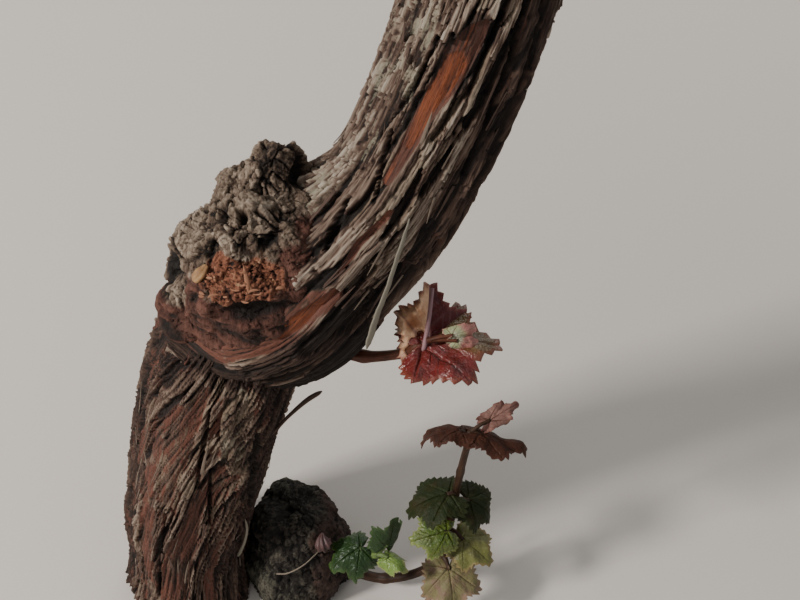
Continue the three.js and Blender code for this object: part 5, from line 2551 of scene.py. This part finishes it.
def stem_piece(name: str, limb: Limb, faces: tuple[int, int]) -> Piece:
    """A smooth young stem with a swelling at each of its stations.

    Args:
        name: the piece's name.
        limb: the stem's line.
        faces: how many faces go round it and along it.

    Returns:
        The piece.
    """
    rings = Rings(limb, 120)
    joints = np.linspace(0.0, 1.0, len(limb.stations))

    def surface(share: Array, angle: Array) -> tuple[Array, list[Array]]:
        """Points on the stem, ridged and swollen at its joints."""
        near = np.abs(share[:, None] - joints).min(1) * rings.run[-1]
        radius = rings.read(rings.radius, share)
        swell = radius * (0.2 * np.exp(-((near / 2.2) ** 2)) + 0.05 * np.cos(7 * angle))
        return rings.place(share, angle, swell), [np.zeros(len(share))]

    radius = limb.stations[0].radius
    piece = wrap(name, rings, surface, (0.0, rings.run[-1]), faces, radius, 0.0)
    edit(piece, close_ends)
    return piece


@dataclass
class Sucker:
    """A young shoot from the old wood."""

    name: str
    slot: Slot
    stem: tuple[Triple, ...]
    thick: float
    thin: float
    stem_finish: StemFinish
    leaves: tuple[YoungLeaf, ...]
    stem_faces: tuple[int, int] = (28, 90)  # round it and along it
    stalk_faces: tuple[int, int] = (14, 16)

    def build(self) -> None:
        """Models the stem, the stalks and the leaves, and dresses them."""
        last = len(self.stem) - 1
        radii = [blend(self.thick, self.thin, i / last) for i in range(last + 1)]
        limb = Limb(tuple(Station(at, r) for at, r in zip(self.stem, radii)), (), (0.0, 0.0, 1.0))
        wood = [stem_piece("stem", limb, self.stem_faces)]
        wood += [stem_piece("stalk", leaf.stalk(), self.stalk_faces) for leaf in self.leaves]
        stems = join(wood, f"{self.name}_stem")
        hand_over(stems, self.slot, self.stem_finish.make(), self.name)
        for i, leaf in enumerate(self.leaves):
            blade = leaf.blade(f"{self.name}_leaf_{i + 1}")
            hand_over(blade, self.slot, leaf.finish.make(), self.name)


# Each blade's colours: the blade, its veins, its rim, its blotches and, last, where it has turned
# The crimson leaf's turned half is a very light tan: its own dried tan, lightened by painted light, for
# it lies in the limb's shadow
CRIMSON = BladeFinish("crimson_blade", (0.100, 0.010, 0.010), (0.36, 0.19, 0.20),
                      (0.20, 0.045, 0.035), (0.070, 0.011, 0.013), 0.5, 0.0008,
                      (0.96, 0.60, 0.36), 0.35)
GLOSSY_RED = BladeFinish("glossy_red_blade", (0.150, 0.020, 0.018), (0.17, 0.04, 0.03),
                         (0.19, 0.05, 0.03), (0.090, 0.015, 0.014), 0.16, 0.0012,
                         (0.115, 0.070, 0.022))
BLUSH = BladeFinish("blushing_blade", (0.30, 0.33, 0.17), (0.36, 0.30, 0.19), (0.44, 0.18, 0.15),
                    (0.38, 0.37, 0.28), 0.6, 0.0008, (0.36, 0.12, 0.11))
ROSY = BladeFinish("rosy_blade", (0.25, 0.13, 0.105), (0.095, 0.042, 0.032), (0.15, 0.055, 0.045),
                   (0.16, 0.075, 0.060), 0.6, gloss=0.25)
BROWN_RED = BladeFinish("brown_red_blade", (0.050, 0.016, 0.008), (0.070, 0.027, 0.016),
                        (0.075, 0.026, 0.016), (0.030, 0.010, 0.006), 0.6, gloss=0.2)
# Near black colours: partly the leaves' own dark green, partly painted shade, for they lie in shadow
SHADED_DARK_GREEN = BladeFinish("shaded_dark_green_blade", (0.013, 0.021, 0.005), (0.026, 0.036, 0.010),
                         (0.022, 0.028, 0.008), (0.024, 0.021, 0.006), 0.55, gloss=0.15)
BRIGHT_GREEN = BladeFinish("bright_green_blade", (0.080, 0.106, 0.013), (0.15, 0.19, 0.040),
                           (0.21, 0.25, 0.07), (0.058, 0.105, 0.012), 0.13, 0.0016)
YELLOW_GREEN = BladeFinish("yellow_green_blade", (0.125, 0.130, 0.034), (0.21, 0.21, 0.08),
                           (0.24, 0.17, 0.07), (0.080, 0.078, 0.025), 0.45, gloss=0.35)
PALE_OLIVE = BladeFinish("pale_olive_blade", (0.155, 0.137, 0.060), (0.22, 0.17, 0.09),
                         (0.22, 0.14, 0.09), (0.17, 0.105, 0.072), 0.6, gloss=0.3)
GRASS_GREEN = BladeFinish("grass_green_blade", (0.013, 0.036, 0.007), (0.036, 0.068, 0.016),
                          (0.040, 0.080, 0.016), (0.011, 0.030, 0.007), 0.35, gloss=0.35)
TIP_GREEN = BladeFinish("tip_green_blade", (0.15, 0.24, 0.045), (0.25, 0.31, 0.10),
                        (0.28, 0.28, 0.11), (0.09, 0.16, 0.028), 0.3)

RED_SUCKER = Sucker(
    name="sucker_red",
    slot=Slot.RED_FOLIAGE,
    stem=((78, -11, 183), (92, -17, 184), (109, -18, 187), (117, -18, 192)),
    thick=3.0,
    thin=1.5,
    stem_finish=StemFinish("red_stem", (0.115, 0.036, 0.018), (0.038, 0.012, 0.007), gloss=0.25),
    leaves=(
        YoungLeaf(GLOSSY_RED, (111, -18, 188), (117, -20, 193), (1, 0.08, 0.12), (0.0, -0.1, 1.0),
                  46, cup=0.08, fold=0.05, droop=0.2, wave=0.045, pucker=0.024, seed=3, right=0.9,
                  turning=(0.8, 1.0, -0.25, 0.45)),
        YoungLeaf(CRIMSON, (115, -17, 191), (118.5, -19, 192), (0.06, 0.69, 0.70),
                  (0.05, -0.72, 0.68), 37, cup=0.06, fold=-0.25, wave=0.05, seed=5, left=0.74,
                  rib=0.03, crumple=0.17, turning=(0.0, 1.0, -0.012, 0.02)),
        YoungLeaf(BLUSH, (119, -20, 197), (129, -21, 201), (0.95, 0.2, 0.2), (0.1, -0.75, 0.65), 15,
                  cup=0.3, fold=-0.2, roll=2.3, wave=0.10, seed=9, teeth=9, narrow=0.85,
                  turning=(1.0, 0.3, -0.2, 0.7)),
        YoungLeaf(BLUSH, (119, -20, 197), (131, -22, 199), (0.97, -0.1, -0.1), (0.0, -0.7, 0.7), 13,
                  cup=0.3, fold=-0.2, roll=1.9, wave=0.10, seed=10, teeth=8,
                  turning=(1.0, -0.3, -0.25, 0.4)),
    ),
)
TALL_SUCKER = Sucker(
    name="sucker_tall",
    slot=Slot.OLIVE_FOLIAGE,
    stem=((74, -6, 13), (100, -12, 10), (124, -14, 26),
          (132, -12, 62), (136, -11, 98), (140, -11, 127)),
    thick=2.7,
    thin=1.5,
    stem_finish=StemFinish("tall_stem", (0.060, 0.031, 0.018), (0.020, 0.010, 0.006), gloss=0.2),
    leaves=(
        YoungLeaf(BROWN_RED, (139, -11, 122), (135, -11, 127), (-0.93, 0.0, 0.30),
                  (0.25, 0.2, 0.95), 31, cup=0.05, roll=1.5, droop=1.2, wave=0.05, seed=11,
                  left=0.55, narrow=0.85),
        YoungLeaf(BROWN_RED, (140, -11, 125), (144, -11, 125), (0.93, -0.05, -0.32),
                  (0.3, 0.15, 0.9), 34, cup=0.05, roll=1.5, droop=0.15, wave=0.05, seed=13,
                  right=0.62, narrow=0.85),
        YoungLeaf(SHADED_DARK_GREEN, (134, -12, 80), (131, -14, 84), (-0.96, -0.2, -0.05),
                  (-0.1, -0.1, 0.95), 34, droop=0.5, cup=0.14, narrow=0.8, seed=17),
        YoungLeaf(SHADED_DARK_GREEN, (134, -12, 76), (140, -13, 78), (0.9, -0.25, -0.35), (0.2, -0.2, 0.9),
                  26, droop=0.6, cup=0.14, seed=47),
        YoungLeaf(BRIGHT_GREEN, (131, -13, 56), (130, -20, 62), (-0.9, -0.3, 0.05),
                  (-0.1, -0.55, 0.85), 24, cup=0.26, roll=0.6, pucker=0.03, seed=19),
        YoungLeaf(YELLOW_GREEN, (131, -12, 54), (138, -17, 52), (0.7, -0.45, -0.3),
                  (0.3, -0.5, 0.8), 26, cup=0.14, roll=0.7, fold=0.1, wave=0.06, seed=23),
        YoungLeaf(PALE_OLIVE, (128, -14, 36), (132, -22, 34), (0.1, -0.85, -0.45), (0, -0.45, 0.88),
                  31, cup=0.16, wave=0.08, roll=0.4, seed=29),
        YoungLeaf(ROSY, (140, -11, 127), (148, -8, 131), (0.85, 0.35, 0.38), (-0.1, -0.6, 0.75), 22,
                  cup=0.1, roll=0.9, fold=0.5, wave=0.10, seed=51, teeth=9, petiole=0.8,
                  narrow=0.5),
    ),
)
GREEN_SUCKER = Sucker(
    name="sucker_green",
    slot=Slot.FOLIAGE,
    stem=((66, -5, 33), (80, -13, 37), (91, -19, 41), (97, -23, 47)),
    thick=2.3,
    thin=1.7,
    stem_finish=StemFinish("green_stem", (0.13, 0.19, 0.05), (0.045, 0.075, 0.022)),
    leaves=(
        YoungLeaf(GRASS_GREEN, (90, -19, 41), (88, -19, 47), (-0.8, -0.4, -0.2), (-0.2, -0.4, 0.9),
                  25, cup=0.3, roll=0.6, seed=31, teeth=11, pucker=0.03),
        YoungLeaf(GRASS_GREEN, (96, -22, 46), (101, -21, 52), (0.30, 0.15, 0.93), (0.5, -0.8, 0.1),
                  23, cup=0.1, roll=1.3, fold=0.2, seed=37, teeth=11),
        YoungLeaf(TIP_GREEN, (97, -23, 47), (101, -25, 48), (0.7, -0.55, 0.0), (0.1, -0.3, 0.9), 16,
                  cup=0.25, roll=1.5, wave=0.08, seed=41, teeth=10),
    ),
)


# Loose bark and small growths

def on_limb(rings: Rings, path: Sequence[Triple]) -> Array:
    """Points of a path of (run, angle, lift) over a limb's smooth surface."""
    run, angle, lift = np.array(path, float).T
    return rings.place(np.interp(run, rings.run, rings.share), np.radians(angle), lift)


@dataclass
class LooseBark:
    """Slivers of bark that have come away from the trunk."""

    count: int = 130
    shortest: float = 6.0
    longest: float = 22.0
    foot: float = 28.0  # the lowest that they start on the stock, along it
    roll: float = 84.0  # the lowest on the limb, above the old head
    stock_top: float = 156.0
    limb_top: float = 360.0
    taper: tuple[float, ...] = (0.9, 1.0, 0.85, 0.9, 0.7, 0.6, 0.35, 0.12)
    shades: tuple[PlainFinish, ...] = (
        PlainFinish("grey_sliver", (0.150, 0.112, 0.084), 0.85),
        PlainFinish("brown_sliver", (0.070, 0.040, 0.029), 0.85),
    )
    pale: PlainFinish = PlainFinish("pale_sliver", (0.195, 0.175, 0.135), 0.8)
    hanging: tuple[Triple, ...] = (
        (111, -21, 266), (106.5, -26, 250), (101.5, -30, 234), (97, -32, 219), (94, -33, 206)
    )
    standing: tuple[Triple, ...] = (
        (46, -17, 128), (52, -20, 139), (58, -19, 147), (66, -15, 153), (73, -12, 156)
    )
    curled: tuple[Triple, ...] = (  # over the stock's smooth surface
        (100, 50, 0), (92, 52, 2.4), (80, 53, 3), (68, 55, 1.6), (60, 56, 0)
    )

    def add_scattered(self, heaps: Sequence[Heap]) -> None:
        """Adds slivers all over the trunk, each with one end standing off.

        Args:
            heaps: one heap for each shade.
        """
        draws = Stream(2027)
        for _ in range(self.count):
            on_stock = draws.draw() < 0.45
            rings = STOCK_BARK.rings if on_stock else LIMB_BARK.rings
            run = draws.between(self.foot, self.stock_top if on_stock else self.limb_top)
            if not on_stock:
                run = max(run, self.roll)
            angle = draws.between(-170.0, 170.0) * (0.45 + 0.55 * draws.draw())
            length = draws.between(self.shortest, self.longest)
            stray = draws.between(-5.0, 5.0)
            rise = draws.between(0.3, 1.9)
            share = np.linspace(0.0, 1.0, len(self.taper))
            way = -1.0 if draws.draw() < 0.6 else 1.0
            foot = run if way > 0 else run + length
            path = np.stack(
                [foot + way * length * share, angle + stray * share, rise * share**1.6 - 0.3], 1
            )
            line = on_limb(rings, path)
            outwards = on_limb(rings, path + (0.0, 0.0, 1.0)) - line
            width = draws.between(0.5, 1.7) * np.array(self.taper)
            heaps[int(draws.draw() * len(heaps))].add_ribbon(line, outwards, width, 0.3)

    def build(self) -> None:
        """Models the slivers, each shade joined, and the long ones that the photo shows."""
        heaps = [Heap() for _ in self.shades]
        self.add_scattered(heaps)
        for heap, finish in zip(heaps, self.shades):
            hand_over(heap.piece(finish.name), Slot.BARK, finish.make(), "trunk")
        share = np.linspace(0.0, 1.0, 22)
        wide = np.interp(share, (0, 0.12, 0.5, 0.8, 0.94, 1), (0.6, 1.9, 2.3, 3.3, 3.0, 0.8))
        kinks = 0.12 * np.sin(17 * share) + 0.1 * np.sin(47 * share)
        hanging = spline(self.hanging, share) + kinks[:, None] * (1, 0, 0)
        curled = spline(on_limb(STOCK_BARK.rings, self.curled), share)
        pale, dark = Heap(), Heap()
        pale.add_ribbon(hanging, (0.45, -0.85, 0.2), wide, 0.5)
        pale.add_ribbon(curled, (0.2, -0.9, 0.4), 0.6 * wide, 0.4)
        hand_over(pale.piece(self.pale.name), Slot.BARK, self.pale.make(), "trunk")
        standing = spline(self.standing, share)
        dark.add_ribbon(standing, (-0.3, -0.8, 0.5), 0.7 * wide, 0.9)
        hand_over(dark.piece("dark_sliver"), Slot.BARK, self.shades[1].make(), "trunk")


@dataclass
class SmallGrowths:
    """The scar's raw stub and torn curls, the shoulder's bud and root, and a leaf's rib."""

    raw: StemFinish = StemFinish(
        "raw_wood", (0.40, 0.235, 0.10), (0.20, 0.09, 0.038), (700.0, 190.0), 0.7
    )
    torn: PlainFinish = PlainFinish("torn_curl", (0.30, 0.135, 0.075), 0.75)
    pink: StemFinish = StemFinish("shoulder_bud", (0.125, 0.060, 0.056), (0.045, 0.018, 0.018))
    pale: PlainFinish = PlainFinish("thin_root", (0.18, 0.145, 0.11), 0.8)
    lilac: PlainFinish = PlainFinish("lilac_rib", (0.30, 0.165, 0.175), 0.6)
    curls: int = 14
    scar: Triple = (45.0, -32.5, 242.0)
    scar_reach: Triple = (18.0, 6.0, 10.0)
    stub: Limb = Limb(
        (
            Station((32, -24.5, 244.5), 0.8),
            Station((30, -26.5, 242.5), 1.9),
            Station((27.8, -28, 240.7), 1.7),
            Station((26.8, -28.5, 239.8), 0.7),
        ),
        (Flute(3, 0.14, 0.4, 1.0), Flute(5, 0.08, 0.9, 2.0)),
    )
    bud: Limb = Limb(
        (
            Station((69, -13.5, 52), 0.4),
            Station((69, -15.5, 50), 2.1),
            Station((69.5, -17, 47.5), 3.4),
            Station((70, -16, 45.5), 2.2),
        ),
        (Flute(9, 0.16, 0.0, 0.0),),
    )
    splinter: tuple[Triple, ...] = ((47, -30, 250), (48.5, -34, 245), (49, -36, 240))
    root: tuple[Triple, ...] = (
        (46, -24, 32), (52, -27, 37), (60, -26, 42.5), (67, -20, 45), (72, -14, 43)
    )
    rib: tuple[Triple, ...] = (
        (116.5, -19, 189), (117.5, -20.5, 193.5), (119.5, -13, 203), (121, -4, 212)
    )

    def add_curls(self, heap: Heap) -> None:
        """Adds the torn curls that stand on the scar, and its splinter.

        Args:
            heap: where they go.
        """
        share = np.linspace(0.0, 1.0, 16)
        draws = Stream(77)
        x, y, z = self.scar
        wide, deep, high = self.scar_reach
        for _ in range(self.curls):
            turn = draws.between(0, 2 * math.pi)
            away = draws.between(0.15, 1.0)
            front = y - deep * (1 - away * away)
            centre = (x + wide * away * math.cos(turn), front, z + high * away * math.sin(turn))
            spin = draws.between(0, 2 * math.pi)
            size = draws.between(0.8, 2.2)
            arc = spin + share * draws.between(1.0, 2.6)
            coil = np.stack([1.4 * np.cos(arc), -0.3 - 0.5 * share, 0.8 * np.sin(arc)], 1)
            width = draws.between(0.5, 1.6) * np.sin(math.pi * (0.1 + 0.85 * share))
            heap.add_ribbon(centre + size * coil, (0.2, -1.0, 0.4), width, 0.25)
        width = 1.8 * np.sin(math.pi * share) + 0.1
        heap.add_ribbon(spline(self.splinter, share), (0.3, -0.9, 0.3), width, 0.5)

    def build(self) -> None:
        """Models the stub, the curls, the bud, the root and the rib, and dresses them."""
        share = np.linspace(0.0, 1.0, 16)
        stub = stem_piece("raw_stub", self.stub, (26, 22))
        hand_over(stub, Slot.BARK, self.raw.make(), "trunk")
        curls, root, rib = Heap(), Heap(), Heap()
        self.add_curls(curls)
        hand_over(curls.piece(self.torn.name), Slot.BARK, self.torn.make(), "trunk")
        bud = stem_piece("pink_bud", self.bud, (54, 30))
        hand_over(bud, Slot.DARK_BARK, self.pink.make(), "foot_shoulder")
        root.add_tube(spline(self.root, share), 0.45 - 0.2 * share, 6)
        hand_over(root.piece(self.pale.name), Slot.DARK_BARK, self.pale.make(), "foot_shoulder")
        rib.add_tube(spline(self.rib, share), 1.35 - 0.6 * share, 8)
        hand_over(rib.piece(self.lilac.name), Slot.RED_FOLIAGE, self.lilac.make(), "sucker_red")


def main() -> None:
    """Builds the vine piece by piece."""
    logging.basicConfig(level=logging.INFO, format="%(message)s")
    Studio().build()
    Trunk(STOCK_BARK, LIMB_BARK).build()
    OLD_HEAD.build()
    KNUCKLE.build()
    SHOULDER.build()
    for sucker in (RED_SUCKER, TALL_SUCKER, GREEN_SUCKER):
        sucker.build()
    LooseBark().build()
    SmallGrowths().build()
    Crown().build()
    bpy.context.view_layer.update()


if __name__ == "__main__":
    main()
